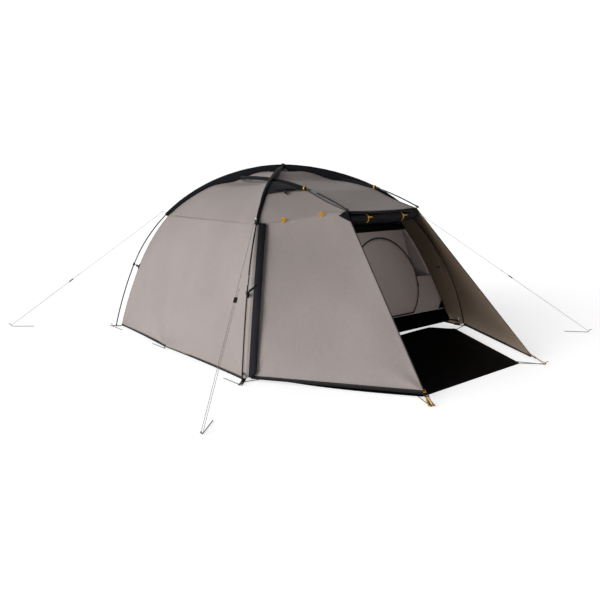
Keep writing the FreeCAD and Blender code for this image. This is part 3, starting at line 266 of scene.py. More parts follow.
MATERIALS = {
    "fly": cloth("fly_cloth", (0.214, 0.186, 0.176), 0.52, ripstop=0.0055, sheen=0.03, dust=0.16,
                 gloss=0.2),
    # Inner face of the fly: a browner tone of the fly cloth. This is painted transmitted light that
    # stands in for light shining through the thin fabric.
    "fly_inside": cloth("fly_inside_painted_transmission", (0.225, 0.165, 0.118), 0.6, crumple=0.7),
    "inner_cloth": cloth("inner_cloth", (0.64, 0.55, 0.53), 0.72, crumple=0.8, sheen=0.03),
    "black_fabric": cloth("black_cloth", (0.0042, 0.0046, 0.0066), 0.58, gloss=0.09, crumple=0.9),
    "sleeve": cloth("sleeve_cloth", (0.0036, 0.0039, 0.0056), 0.55, pitch=0.0012, gloss=0.09,
                    crumple=0.9),
    "groundsheet": cloth("groundsheet_cloth", (0.0016, 0.0016, 0.0020), 0.75, pitch=0.0011,
                         gloss=0.02, crumple=1.2, dust=0.05),
    "net": netting("insect_net", (0.009, 0.009, 0.010)),
    "black_webbing": webbing("black_webbing", (0.007, 0.007, 0.009)),
    "black_tape": webbing("stitched_black_tape", (0.0065, 0.0065, 0.008), 0.0012, 0.0042),
    "seam_tape": webbing("stitched_seam", (0.235, 0.205, 0.19), 0.0009, 0.0034,
                         (0.17, 0.15, 0.138)),
    "gold_webbing": webbing("ochre_webbing", (0.52, 0.265, 0.018), 0.0017, 0.0062,
                            (0.68, 0.38, 0.06)),
    "zip_tape": webbing("zip_tape", (0.006, 0.006, 0.0075), 0.0012),
    "gold_plastic": solid("ochre_plastic", (0.50, 0.25, 0.018), 0.42, wear=(0.7, 0.42, 0.1)),
    "black_plastic": solid("black_plastic", (0.006, 0.006, 0.007), 0.5, wear=(0.05, 0.05, 0.055)),
    "pole": solid("pole_coating", (0.006, 0.006, 0.007), 0.45, grain=260.0,
                  wear=(0.10, 0.10, 0.11)),
    "ferrule": solid("ferrule_alloy", (0.16, 0.16, 0.17), 0.36, 1.0, wear=(0.35, 0.35, 0.36)),
    "elastic": webbing("shock_cord", (0.03, 0.03, 0.03), 0.001),
    "brass": solid("brass", (0.62, 0.43, 0.16), 0.32, 1.0, wear=(0.32, 0.22, 0.10)),
    "steel_ring": solid("plated_steel", (0.72, 0.72, 0.72), 0.28, 1.0, wear=(0.4, 0.4, 0.4)),
    "peg_steel": solid("peg_steel", (0.09, 0.088, 0.085), 0.42, 0.85, wear=(0.25, 0.24, 0.22)),
    "zip_metal": solid("zip_enamel", (0.02, 0.02, 0.022), 0.3, 0.4, wear=(0.2, 0.2, 0.2)),
    "guy_cord": braid("guy_braid", (0.20, 0.20, 0.195), (0.05, 0.05, 0.055)),
}


def finish(obj, material, body=SHELTER, replaces=()):
    """Gives a new piece its material and slot, and fixes it to a body."""
    obj.data.materials.append(MATERIALS[material])
    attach(obj, body)
    if replaces:
        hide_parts(*replaces)
    return obj


# ---------------------------------------------------------------- guylines

GUY_RADIUS = 0.0013
KNOT_POINTS, KNOT_TURNS, KNOT_LENGTH = 22, 2.6, 0.011
GUYLINES = {
    "front_near": (2.497, ((-0.7981, -0.1665, 0.9418), (-1.7265, -0.9574, 0.0171),
                           (-1.7359, -0.9654, 0.0077), (-1.7297, -0.9727, 0.0077),
                           (-1.7203, -0.9647, 0.0171), (-1.1565, -0.4844, 0.5786))),
    "front_far": (2.518, ((0.8004, -0.1834, 0.9420), (1.6904, -1.2229, 0.0166),
                          (1.6988, -1.2327, 0.0079), (1.7061, -1.2265, 0.0079),
                          (1.6977, -1.2167, 0.0166), (1.2513, -0.6953, 0.4808))),
    "rear_near": (2.327, ((-0.7255, 1.1573, 0.9413), (-1.6951, 1.9872, 0.0169),
                          (-1.7047, 1.9954, 0.0078), (-1.7110, 1.9881, 0.0078),
                          (-1.7014, 1.9799, 0.0169), (-1.2618, 1.6037, 0.4360))),
    "rear_far": (2.374, ((0.7224, 1.1419, 0.9417), (1.7014, 1.9799, 0.0169),
                         (1.7110, 1.9881, 0.0078), (1.7047, 1.9954, 0.0078),
                         (1.6951, 1.9872, 0.0169), (1.2318, 1.5906, 0.4546))),
}


def cord_curve(name, points, radius, resolution, rounding):
    """A NURBS curve along given points, with the thickness of a cord."""
    curve = bpy.data.curves.new(name, "CURVE")
    curve.dimensions = "3D"
    spline = curve.splines.new("NURBS")
    spline.points.add(len(points) - 1)
    for knot, point in zip(spline.points, points):
        knot.co = (*point, 1.0)
    spline.order_u = 3
    spline.use_endpoint_u = True
    spline.resolution_u = resolution
    curve.bevel_depth = radius
    curve.bevel_resolution = rounding
    curve.use_fill_caps = True
    return link(bpy.data.objects.new(name, curve))


def knot_shape(name, centre, axis):
    """A small overhand knot: a cord's turns wound closely about its own end."""
    side = axis.cross(UP).normalized()
    other = axis.cross(side)
    points = []
    for index in range(KNOT_POINTS):
        angle = index * 2 * math.pi * KNOT_TURNS / KNOT_POINTS
        swell = math.sin(math.pi * (index + 0.5) / KNOT_POINTS)
        offset = (side * math.cos(angle) + other * math.sin(angle)) * (0.0012 + 0.0017 * swell)
        points.append(centre + offset + axis * (index / KNOT_POINTS - 0.5) * KNOT_LENGTH)
    return finish(cord_curve(name, points, 0.0012, 12, 2), "guy_cord")


for guy, (length, route) in GUYLINES.items():
    line = cord_curve("guy_cord_" + guy, route, GUY_RADIUS, 24, 3)
    finish(line, "guy_cord", replaces=["guyline_" + guy])
    tail, before = Vector(route[-1]), Vector(route[-2])
    upward = (tail - before).normalized()
    stopper = knot_shape("guy_knot_" + guy, tail - upward * 0.004, upward)
    start, onward = Vector(route[0]), (Vector(route[1]) - Vector(route[0])).normalized()
    tie = knot_shape("guy_tie_" + guy, start + onward * 0.003, onward)

# ---------------------------------------------------------------- pole lines

SHIFT = -0.4667
FRONT_HALF, REAR_HALF, FOOT_LENGTH = 1.136, 1.048, 1.898
APEX_HEIGHT, POLE_GAP, SHOULDER_RADIUS = 1.274, 0.0156, 1.280
SLEEVE_RADIUS, SLEEVE_END = 0.0075, 0.919
FOOT_ANGLE, KNEE_ANGLE, ROOF_ANGLE = (math.radians(a) for a in (76.3, 66.9, 18.8))
APEX_Y = FOOT_LENGTH * FRONT_HALF / (FRONT_HALF + REAR_HALF)
BROW_HALF, BROW_TIP_Z, BROW_TIP_Y = 0.350, 1.008, -0.078
BROW_TOP_Z, BROW_BEND_Y, BROW_SLEEVE_Y = APEX_HEIGHT - 0.064, 0.950, 0.322


def at(x, y, z):
    """A point given from the front feet's line, moved to the centred frame."""
    return Vector((x, y + SHIFT, z))


APEX = at(0, APEX_Y, APEX_HEIGHT)
TENT_MIDDLE = at(0, 0.95, 0.35)
PORCH_MIDDLE = at(0, -0.25, 0.3)


def bisect(high, is_before):
    """The place between 0 and high where is_before turns false."""
    low = 0.0
    for _ in range(40):
        middle = (low + high) / 2
        if is_before(middle):
            low = middle
        else:
            high = middle
    return low


class HalfPole:
    """Half of a crossing pole: three tangent arcs from a foot to the apex."""

    def __init__(self, end, side, top):
        half, back = (FRONT_HALF, 0.0) if end == FRONT else (REAR_HALF, FOOT_LENGTH)
        self.foot = at(side * half, back, 0)
        flat = Vector((APEX.x, APEX.y, 0)) - self.foot
        self.heading = flat.normalized()
        sin, cos = math.sin, math.cos
        a, b, c, r = FOOT_ANGLE, KNEE_ANGLE, ROOF_ANGLE, SHOULDER_RADIUS
        reach = flat.length - r * (sin(b) - sin(c))
        rise = top - r * (cos(c) - cos(b))
        m11, m12, m21, m22 = sin(a) - sin(b), sin(c), cos(b) - cos(a), 1 - cos(c)
        det = m11 * m22 - m12 * m21
        leg_radius = (reach * m22 - m12 * rise) / det
        roof_radius = (m11 * rise - m21 * reach) / det
        self.arcs = []
        along = height = passed = 0.0
        for start, stop, radius in ((a, b, leg_radius), (b, c, r), (c, 0, roof_radius)):
            self.arcs.append((passed, start, radius, along, height))
            along += radius * (sin(start) - sin(stop))
            height += radius * (cos(stop) - cos(start))
            passed += radius * (start - stop)
        self.length = passed

    def along_rise(self, distance):
        passed, start, radius, along, height = [
            arc for arc in self.arcs if arc is self.arcs[0] or distance >= arc[0]][-1]
        angle = start - (distance - passed) / radius
        return (along + radius * (math.sin(start) - math.sin(angle)),
                height + radius * (math.cos(angle) - math.cos(start)), angle)

    def point(self, distance):
        along, height, _ = self.along_rise(distance)
        return self.foot + self.heading * along + UP * height

    def tangent(self, distance):
        angle = self.along_rise(distance)[2]
        return self.heading * math.cos(angle) + UP * math.sin(angle)

    def outward(self, distance):
        angle = self.along_rise(distance)[2]
        return self.heading * -math.sin(angle) + UP * math.cos(angle)

    def at_height(self, height):
        return bisect(self.length, lambda middle: self.along_rise(middle)[1] < height)


LEG_CLIP_HEIGHT = 0.518
KEYS = [(end, side) for end in (FRONT, REAR) for side in (NEAR, FAR)]
HALVES = {(end, side): HalfPole(end, side, APEX_HEIGHT + (
    POLE_GAP if (end == FRONT) == (side == FAR) else 0)) for end, side in KEYS}
LOW_LINES = {key: HalfPole(*key, APEX_HEIGHT) for key in KEYS}
SEAM_START = {key: low.at_height(SLEEVE_END) for key, low in LOW_LINES.items()}
DIP_PLACE, DIP_REACH, DIP_DEPTH = 0.400, 0.220, 0.027
LEG_INSET, FLY_CLEARANCE = 0.034, 0.0025
APEX_GAP = 0.022


def fly_edge(end, side, distance):
    """Fly beside a pole: close under its sleeve, and 34 mm further in beside the bare leg."""
    half, start = LOW_LINES[(end, side)], SEAM_START[(end, side)]
    inset = SLEEVE_RADIUS + FLY_CLEARANCE
    from_dip = (half.length - distance - DIP_PLACE) / DIP_REACH
    if abs(from_dip) < 1:
        inset += DIP_DEPTH * math.cos(from_dip * math.pi / 2) ** 2
    if distance < start:
        inset += LEG_INSET * math.sin(min(1.0, (1 - distance / start) * 1.6) * math.pi / 2)
    return half.point(distance) - half.outward(distance) * inset


A_FRONT = LOW_LINES[(FRONT, NEAR)]
BROW_DROP = BROW_TOP_Z - BROW_TIP_Z
BROW_RUN = BROW_BEND_Y - BROW_TIP_Y
BROW_RADIUS = (BROW_RUN ** 2 + BROW_DROP ** 2) / (2 * BROW_DROP)
BROW_CROSS_Y = APEX_Y * (1 - BROW_HALF / FRONT_HALF)
BROW_EDGE_Y = BROW_TIP_Y + 0.004


def brow_arm(side, y):
    """A point of a brow arm's axis at a place y along the tent."""
    sine = (BROW_BEND_Y - y) / BROW_RADIUS
    return at(side * BROW_HALF, y, BROW_TOP_Z - BROW_RADIUS * (1 - math.sqrt(1 - sine * sine)))


CROSS_DISTANCE = bisect(A_FRONT.length, lambda middle: A_FRONT.point(middle).x < -BROW_HALF)
CROSS_FLY_Z = fly_edge(FRONT, NEAR, CROSS_DISTANCE).z


def under_brow(side, y):
    """Fly below a brow arm: close under it at the tip, under pole A where they cross."""
    arm = brow_arm(side, y)
    share = max(0.0, (y - BROW_TIP_Y) / (BROW_CROSS_Y - BROW_TIP_Y))
    gap = lerp(SLEEVE_RADIUS + 0.006, brow_arm(side, BROW_CROSS_Y).z - CROSS_FLY_Z, share ** 2)
    bare = min(1.0, max(0.0, (y - BROW_TIP_Y) / (BROW_SLEEVE_Y - BROW_TIP_Y)))
    gap += 0.016 * math.sin(math.pi * bare)
    return arm - Vector((side * 0.002, 0, gap))


# ---------------------------------------------------------------- mesh tools


class Shape:
    """Collects grids of points into one mesh, with texture places in metres."""

    def __init__(self):
        self.verts, self.faces, self.places = [], [], []

    def grid(self, points, wrap=False, caps=False, flip=False):
        base, rows, columns = len(self.verts), len(points), len(points[0])
        span = columns if wrap else columns - 1
        across = []
        for row in points:
            run = [0.0]
            for j in range(span):
                run.append(run[-1] + (row[(j + 1) % columns] - row[j]).length)
            across.append([value - run[-1] / 2 for value in run])
        along = [[0.0] * columns]
        for i in range(1, rows):
            along.append([along[-1][j] + (points[i][j] - points[i - 1][j]).length
                          for j in range(columns)])
        self.verts.extend(point for row in points for point in row)
        for i in range(rows - 1):
            for j in range(span):
                k = (j + 1) % columns
                corners = [(i, j, j), (i, k, j + 1), (i + 1, k, j + 1), (i + 1, j, j)]
                if flip:
                    corners.reverse()
                self.faces.append([base + r * columns + c for r, c, _ in corners])
                self.places.append([(across[r][w], along[r][c]) for r, c, w in corners])
        if caps:
            for i, turn in ((0, not flip), (rows - 1, flip)):
                ring = list(range(columns))
                if turn:
                    ring.reverse()
                self.faces.append([base + i * columns + j for j in ring])
                self.places.append([(across[i][j], along[i][j]) for j in ring])

    def tube(self, rings):
        """A closed tube through rings of points, with its faces outward."""
        ring, following = rings[0], rings[1]
        middle = sum(ring, Vector()) / len(ring)
        normal = (ring[1] - ring[0]).cross(following[0] - ring[0])
        self.grid(rings, wrap=True, caps=True, flip=normal.dot(ring[0] - middle) < 0)

    def piece(self, name, material, body=SHELTER, replaces=()):
        mesh = bpy.data.meshes.new(name)
        mesh.from_pydata([tuple(v) for v in self.verts], [], self.faces)
        layer = mesh.uv_layers.new(name="UVMap")
        flat = [value for face in self.places for place in face for value in place]
        layer.data.foreach_set("uv", flat)
        mesh.shade_smooth()
        obj = link(bpy.data.objects.new(name, mesh))
        return finish(obj, material, body, replaces)


def mesh_normal(points, i, j):
    rows, columns = len(points), len(points[0])
    down = points[min(i + 1, rows - 1)][j] - points[max(i - 1, 0)][j]
    right = points[i][min(j + 1, columns - 1)] - points[i][max(j - 1, 0)]
    return right.cross(down).normalized()


def cloth_sheet(name, place, rows, columns, material, inside_face_material=None, replaces=(), middle=TENT_MIDDLE,
                ripple=None, thickness=0.0012):
    """One continuous curved sheet: a grid of points, its folds, and a real thickness."""
    points = [[place(i / (rows - 1), j / (columns - 1)) for j in range(columns)]
              for i in range(rows)]
    i, j = rows // 2, columns // 2
    flip = mesh_normal(points, i, j).dot(points[i][j] - middle) < 0
    if ripple:
        sign = -1 if flip else 1
        points = [[points[i][j] + mesh_normal(points, i, j) * sign * ripple(
            points[i][j], i / (rows - 1), j / (columns - 1)) for j in range(columns)]
            for i in range(rows)]
    shape = Shape()
    shape.grid(points, flip=flip)
    obj = shape.piece(name, material, replaces=replaces)
    # A second material for the sheet's inner faces; on the fly it is painted transmitted light.
    if inside_face_material:
        obj.data.materials.append(MATERIALS[inside_face_material])
    solidify = obj.modifiers.new("thickness", "SOLIDIFY")
    solidify.thickness = thickness
    solidify.offset = -1
    if inside_face_material:
        solidify.material_offset = 1
    return obj


BAND_PROFILE = ((-1, 0), (-1, 0.55), (-0.86, 0.88), (0, 1), (0.86, 0.88), (1, 0.55), (1, 0),
                (0, -0.02))


def band(shape, line, sides, ups, width, height):
    """A flat strip along a line: sides give its width's direction and ups its outer face's."""
    half = width / 2
    rings = []
    for index, point in enumerate(line):
        side = sides[index] if isinstance(sides, list) else sides
        up = ups[index] if isinstance(ups, list) else ups
        rings.append([point + side * (x * half) + up * (y * height) for x, y in BAND_PROFILE])
    shape.tube(rings)


def rod(shape, line, radius, segments):
    """A round bar along a line of points."""
    rings = []
    side = None
    for index, point in enumerate(line):
        before, after = line[max(index - 1, 0)], line[min(index + 1, len(line) - 1)]
        tangent = (after - before).normalized()
        if side is None:
            side = tangent.cross(UP if abs(tangent.z) < 0.9 else ACROSS).normalized()
        side = (side - tangent * side.dot(tangent)).normalized()
        other = tangent.cross(side)
        rings.append([point + (side * math.cos(a) + other * math.sin(a)) * radius
                      for a in circle(segments)])
    shape.tube(rings)


def slack(size, depth, seed=0.0):
    """Gentle uneven slack in a taut panel, fading out at its sewn edges."""
    def ripple(point, u, w):
        held = min(1.0, 5 * u, 5 * (1 - u)) * min(1.0, 6 * w, 6 * (1 - w))
        return depth * held * noise.noise(point / size + Vector((seed, seed, 0)))
    return ripple


def creases(point, anchors):
    """Tension creases that fan out from the places where cloth is pulled."""
    total = 0.0
    for anchor, reach, depth, count in anchors:
        offset = point - anchor
        distance = offset.length
        if distance < reach:
            angle = math.atan2(offset.z, math.hypot(offset.x, offset.y) * (
                1 if offset.y > 0 else -1))
            fade = (1 - distance / reach) ** 2 * min(1.0, distance / 0.05)
            total += depth * fade * math.cos(count * angle + anchor.y * 7)
    return total


def sew_seam(shape, line, lift, gap):
    """A raised seam along a line of the cloth, on its outer face."""
    along = (line[-1] - line[0]).normalized()
    band(shape, [p + lift * gap for p in line], along.cross(lift).normalized(), lift, 0.011, 0.0011)


def bind_hem(shape, line, outward, width):
    """Tape folded over a hem: a strip on each face of the cloth."""
    line = [p - UP * 0.002 + outward * 0.0008 for p in line]
    band(shape, line, UP, outward, width, 0.0018)
    band(shape, [p - outward * 0.0032 for p in line], UP, -outward, width, 0.0016)


# ---------------------------------------------------------------- fly

HEM_HEIGHT = 0.022
HEM_LINE = HEM_HEIGHT + 0.006
PEG_LOOP_Y = 1.010
SEAM_SHARE = 0.5


def panel_between(key_a, key_b):
    """The whole wall between two poles, from hem to apex: w runs from pole a to pole b."""
    keys = (key_a, key_b)
    hem = [LOW_LINES[key].at_height(HEM_LINE) for key in keys]
    seam = [SEAM_START[key] for key in keys]
    top = [LOW_LINES[key].length - APEX_GAP for key in keys]
    is_side = key_a[1] == key_b[1]

    def place(u, w):
        if u <= SEAM_SHARE:
            share, low, high, sag, rise = u / SEAM_SHARE, hem, seam, 0.012, 0.008
        else:
            share, low, high, sag, rise = (u - SEAM_SHARE) / (1 - SEAM_SHARE), seam, top, 0, 0
        a = fly_edge(*key_a, lerp(low[0], high[0], share))
        b = fly_edge(*key_b, lerp(low[1], high[1], share))
        point = lerp(a, b, w)
        bulge = 4 * w * (1 - w)
        towards = (Vector((APEX.x - point.x, APEX.y - point.y, 0)) - UP * 0.001).normalized()
        point = point + towards * (sag * bulge * (1 - share * share)) + UP * (
            rise * bulge * (1 - share) ** 2)
        if is_side and u < SEAM_SHARE:
            loop = (PEG_LOOP_Y + SHIFT - a.y) / (b.y - a.y)
            kink = 1 - abs(w - loop) / (loop if w < loop else 1 - loop)
            point = point - towards * (0.052 * kink * (1 - share) ** 1.2)
        if u > SEAM_SHARE:
            point = point - UP * (0.014 * bulge * math.sin(math.pi * share))
        return point

    return place


def wall_ripple(anchors, seed):
    base = slack(0.34, 0.0075, seed)
    fine = slack(0.09, 0.0008, seed + 5)

    def ripple(point, u, w):
        return base(point, u, w) + fine(point, u, w) + creases(point, anchors)
    return ripple


def side_anchors(side):
    spots = [(at(side * 1.085, PEG_LOOP_Y, 0.02), 0.80, 0.0100, 5)]
    for end in (FRONT, REAR):
        line = LOW_LINES[(end, side)]
        spots.append((fly_edge(end, side, line.at_height(0.03)), 0.42, 0.0040, 9))
        spots.append((fly_edge(end, side, line.at_height(LEG_CLIP_HEIGHT)), 0.22, 0.0022, 6))
        spots.append((fly_edge(end, side, SEAM_START[(end, side)]), 0.34, 0.0032, 8))
    return spots


fly_walls = {
    "near": ((FRONT, NEAR), (REAR, NEAR), side_anchors(NEAR), ["fly_side_near", "fly_upper_near"]),
    "far": ((FRONT, FAR), (REAR, FAR), side_anchors(FAR), ["fly_side_far", "fly_upper_far"]),
    "rear": ((REAR, NEAR), (REAR, FAR), side_anchors(NEAR)[3:] + side_anchors(FAR)[3:],
             ["fly_rear"]),
}
seams = Shape()
hems = Shape()
WALLS = {}
for number, (label, (key_a, key_b, anchors, nodes)) in enumerate(fly_walls.items()):
    place = WALLS[label] = panel_between(key_a, key_b)
    wall = cloth_sheet("fly_back" if label == "rear" else "fly_" + label, place, 110, 110, "fly",
                       "fly_inside", nodes, ripple=wall_ripple(anchors, 3.0 * number))
    outward = (place(0.25, 0.5) - TENT_MIDDLE).normalized()
    outward.z = 0
    outward.normalize()
    lift = (outward * 0.55 + UP * 0.83).normalized()
    sew_seam(seams, [place(SEAM_SHARE, w) for w in steps(60)], lift, 0.0006)
    bind_hem(hems, [place(0.0, w) for w in steps(90)], outward, 0.014)


# ---------------------------------------------------------------- vestibule

DOOR_CORNER = (0.559, -0.905, 0.055)
VENT_START = 0.52
ZIP_OUT = direction(-0.86, -0.5, 0.1)
ZIP_ALONG = direction(0.5, -0.86, 0)


def mirrored(point, side):
    return Vector((point.x * -side, point.y, point.z))


def door_edge(u):
    """Near front edge of the vestibule, from the pegged corner up to the brow tip."""
    x, y, z = DOOR_CORNER
    return lerp(at(-x, y, z), under_brow(NEAR, BROW_EDGE_Y), u)


def arc_through(a, b, c):
    """A function along the circular arc through three points."""
    ab, ac = b - a, c - a
    normal = ab.cross(ac)
    centre = a + (normal.cross(ab) * ac.length_squared + ac.cross(normal) * ab.length_squared) / (
        2 * normal.length_squared)
    x_axis = (a - centre).normalized()
    y_axis = normal.normalized().cross(x_axis)
    sweep = math.atan2((c - centre).dot(y_axis), (c - centre).dot(x_axis)) % (2 * math.pi)
    radius = (a - centre).length
    return lambda t: centre + (x_axis * math.cos(sweep * t) + y_axis * math.sin(sweep * t)) * radius


def zip_line():
    low, high = A_FRONT.at_height(HEM_HEIGHT + 0.014), SEAM_START[(FRONT, NEAR)]
    ahead = Vector((0.62, -0.55, 0))
    spots = [(low, 0.062), ((low + high) / 2, 0.062), (high, 0.034)]
    return arc_through(*[A_FRONT.point(d) + ahead * reach + A_FRONT.heading * 0.014
                         for d, reach in spots])


zip_point = zip_line()


def triangle_point(u, w):
    """Fabric between pole A (w=0) and the brow arm (w=1), from seam (u=0) to crossing."""
    distance = lerp(SEAM_START[(FRONT, NEAR)], CROSS_DISTANCE, u)
    on_arm = under_brow(NEAR, lerp(BROW_EDGE_Y, BROW_CROSS_Y, u))
    return lerp(fly_edge(FRONT, NEAR, distance), on_arm, w)


WALL_SHARE, LEG_SHARE, UPPER_TOP = 0.68, 0.08, 0.60
TOGGLE_SPOTS = (0.30, 0.72)


def porch_place(u, w):
    """Near vestibule side: pegged wall, then the roof triangle above its seam."""
    if u >= WALL_SHARE:
        return triangle_point((u - WALL_SHARE) / (1 - WALL_SHARE) * UPPER_TOP, w)
    rise = u / WALL_SHARE
    at_zip = zip_point(rise)
    if w < LEG_SHARE:
        line = A_FRONT
        height = lerp(HEM_LINE, SLEEVE_END, rise)
        point = lerp(fly_edge(FRONT, NEAR, line.at_height(height)), at_zip, w / LEG_SHARE)
    else:
        share = (w - LEG_SHARE) / (1 - LEG_SHARE)
        belly = 0.016 * 4 * share * (1 - share) * math.sin(math.pi * rise)
        point = lerp(at_zip, door_edge(rise), share) + Vector((belly, 0, 0))
    return lerp(point, triangle_point(0.0, w), eased((rise - 0.88) / 0.12))


def porch_anchors():
    return [(door_edge(0.0), 0.55, 0.0060, 9), (door_edge(1.0), 0.40, 0.0050, 8),
            (zip_point(0.52), 0.20, 0.0025, 6), (zip_point(0.0), 0.35, 0.0030, 8),
            *[(triangle_point(0.0, spot), 0.13, 0.0018, 5) for spot in TOGGLE_SPOTS]]


SIDE_NAMES = {NEAR: "near", FAR: "far"}
for side, label in SIDE_NAMES.items():
    spots = [(mirrored(a, side), *rest) for a, *rest in porch_anchors()]
    nodes = ["vestibule_wall_" + label, "vestibule_upper_" + label]
    porch = cloth_sheet("vestibule_" + label, lambda u, w: mirrored(porch_place(u, w), side), 110,
                        90, "fly", "fly_inside", nodes, PORCH_MIDDLE,
                        wall_ripple(spots, 11.0 + side))
    lift = mirrored(direction(-0.62, -0.40, 0.68), side)
    sew_seam(seams, [mirrored(triangle_point(0.0, w), side) for w in steps(40)], lift, 0.0008)
    hem_out = mirrored(direction(-0.85, -0.52, 0), side)
    foot_line = [mirrored(porch_place(0.0, LEG_SHARE + (1 - LEG_SHARE) * i / 60), side)
                 for i in range(61)]
    bind_hem(hems, foot_line, hem_out, 0.020)
seams.piece("fly_seams", "seam_tape")
hems.piece("hem_binding", "black_tape", replaces=["hem_tapes"])

edges = Shape()
for side in (NEAR, FAR):
    rod(edges, [mirrored(door_edge(u), side) for u in steps(60)], 0.0026, 10)
edges.piece("door_edge_piping", "black_tape")

# ---------------------------------------------------------------- front roof

ROOF_SHARE = 0.72


def roof_place(u, w):
    """Front roof: between the brow arms, then narrowing between the poles to the apex."""
    if u <= ROOF_SHARE:
        share = u / ROOF_SHARE
        y = lerp(BROW_EDGE_Y, BROW_CROSS_Y, share)
        dip = 0.008 * 4 * w * (1 - w) * (1 - share)
        return lerp(under_brow(NEAR, y), under_brow(FAR, y), w) - UP * dip
    distance = lerp(CROSS_DISTANCE, A_FRONT.length - APEX_GAP, (u - ROOF_SHARE) / (1 - ROOF_SHARE))
    near = fly_edge(FRONT, NEAR, distance)
    return lerp(near, Vector((-near.x, near.y, near.z)), w)


roof_spots = [(under_brow(side, BROW_TIP_Y + 0.01), 0.34, 0.0035, 8) for side in (NEAR, FAR)]
roof = cloth_sheet("front_roof", roof_place, 100, 70, "fly", "fly_inside", ["fly_front_roof"],
                   at(0, 0.3, 0.6), wall_ripple(roof_spots, 21.0))

trims = Shape()
for side in (NEAR, FAR):
    line = [roof_place(u * ROOF_SHARE, 0.012 if side == NEAR else 0.988) + UP * 0.0012
            for u in steps(60)]
    tilt = direction(side * 0.25, 0.10, 1)
    band(trims, line, ACROSS, tilt, 0.013, 0.0012)
front_line = [roof_place(0.004, w) + UP * 0.0012 for w in steps(40)]
band(trims, front_line, BACKWARD, UP, 0.018, 0.0012)
trims.piece("roof_edge_trim", "black_fabric")


def apex_ring(radius, height, count):
    return [APEX + Vector((math.cos(a) * radius, math.sin(a) * radius, height))
            for a in circle(count)]


patch = Shape()
patch_radii = [0.012 + 0.108 * ring / 6 for ring in range(7)]
patch.grid([apex_ring(r, -0.0118 - r * r / 4, 32) for r in patch_radii], wrap=True)
KNOB_STEPS = ((0.0, 0.017), (0.022, 0.019), (0.034, 0.018), (0.041, 0.013), (0.044, 0.006))
apex_knob = Shape()
apex_knob.tube([apex_ring(radius, height, 24) for height, radius in KNOB_STEPS])
apex_patch = patch.piece("apex_patch", "black_fabric")
thicken(apex_patch, 0.0012)
thicken(apex_knob.piece("apex_knob", "black_fabric"), 0.0012)

# ---------------------------------------------------------------- pole sleeves


def sleeve_ring(point, side, out, drop, half_width, seed, swell=0.0):
    """Cross-section of a sewn sleeve: a tunnel round the pole and two flanges on the fly."""
    puff = 1 + 0.10 * noise.noise(Vector((seed * 26, 0.3, 0.7)))
    sway = 0.0009 * noise.noise(Vector((seed * 17, 4.3, 1.7)))
    low = -drop
    neck = min(-0.006, low + 0.004)
    top = 0.0097 * puff + swell
    left = ((-half_width, low), (-half_width * 0.94, low + 0.0011), (-0.0072, low + 0.0030),
            (-0.0068, neck + 0.001), (-0.0092 * puff, 0.0), (-0.0078, 0.0056),
            (-0.0042, top - 0.001))
    right = tuple((-x, y) for x, y in reversed(left))
    profile = left + ((0.0, top),) + right + ((0.0, low - 0.0008),)
    return [point + side * (x + sway) + out * y for x, y in profile]


def pole_rings(key):
    """Rings of one half of a crossing sleeve, from its lower end to the apex."""
    half, low = HALVES[key], LOW_LINES[key]
    start = half.at_height(SLEEVE_END)
    across = half.heading.cross(UP).normalized()
    rings = []
    for t in steps(149):
        distance = lerp(start, half.length, t)
        on_low = distance * low.length / half.length
        out = half.outward(distance)
        gap = (half.point(distance) - fly_edge(*key, on_low)).dot(out)
        near_top = eased((distance - half.length + 0.045) / 0.03)
        drop = lerp(min(gap, 0.056), 0.0115, near_top)
        width = lerp(0.0105, 0.0195, eased(t * 2.2)) + 0.005 * math.exp(
            -((half.length - distance - DIP_PLACE) / 0.12) ** 2)
        swell = 0.011 * math.exp(-((half.length - distance) / 0.40) ** 2)
        rings.append(sleeve_ring(half.point(distance), across, out, drop, width, distance + key[1],
                                 swell))
    return rings


for label, side in (("a", NEAR), ("b", FAR)):
    forward = pole_rings((FRONT, side))
    back = pole_rings((REAR, -side))
    back = [[ring[(len(ring) * 2 - 2 - k) % (len(ring))] if k < len(ring) - 1 else ring[-1]
             for k in range(len(ring))] for ring in back]
    sleeve = Shape()
    sleeve.tube(forward + back[::-1][1:])
    sleeve.piece("sleeve_cloth_" + label, "sleeve", replaces=["sleeve_" + label])

brow_rings = []
BROW_STEPS = 70
for index in range(BROW_STEPS):
    y = lerp(BROW_SLEEVE_Y, BROW_BEND_Y, index / BROW_STEPS)
    drop = min(0.045, (brow_arm(NEAR, y) - under_brow(NEAR, y)).z) if y < BROW_CROSS_Y else 0.016
    drop = lerp(drop, 0.0115, math.exp(-((y - BROW_CROSS_Y) / 0.03) ** 2))
    brow_rings.append(sleeve_ring(brow_arm(NEAR, y), ACROSS, UP, drop, 0.0135, y))
far_rings = [[Vector((-p.x, p.y, p.z)) for p in ring] for ring in brow_rings]
far_rings = [[ring[(len(ring) - 2 - k) % len(ring)] if k < len(ring) - 1 else ring[-1]
              for k in range(len(ring))] for ring in far_rings]
bend_rings = []
for index in range(61):
    turn = math.pi * index / 60
    radial = Vector((-math.cos(turn), math.sin(turn), 0))
    centre = at(0, BROW_BEND_Y, BROW_TOP_Z)
    bend_rings.append(sleeve_ring(centre + radial * BROW_HALF, -radial, UP, 0.0125, 0.0135, turn))
brow = Shape()
brow.tube(brow_rings + bend_rings + far_rings[::-1])
brow.piece("sleeve_cloth_brow", "sleeve", replaces=["sleeve_brow"])

# Bound ends of the sleeves, and ochre loops where the brow pole leaves its sleeve.
cuffs = Shape()
for key in KEYS:
    half = HALVES[key]
    start = half.at_height(SLEEVE_END)
    across = half.heading.cross(UP).normalized()
    rings = []
    for step in range(9):
        distance = start - 0.004 + 0.042 * step / 8
        out, point = half.outward(distance), half.point(distance)
        rings.append([point + across * (math.cos(a) * 0.0128) + out * (math.sin(a) * 0.0112 - 0.001)
                      for a in circle(20)])
    cuffs.tube(rings)
cuffs.piece("sleeve_cuffs", "black_webbing")

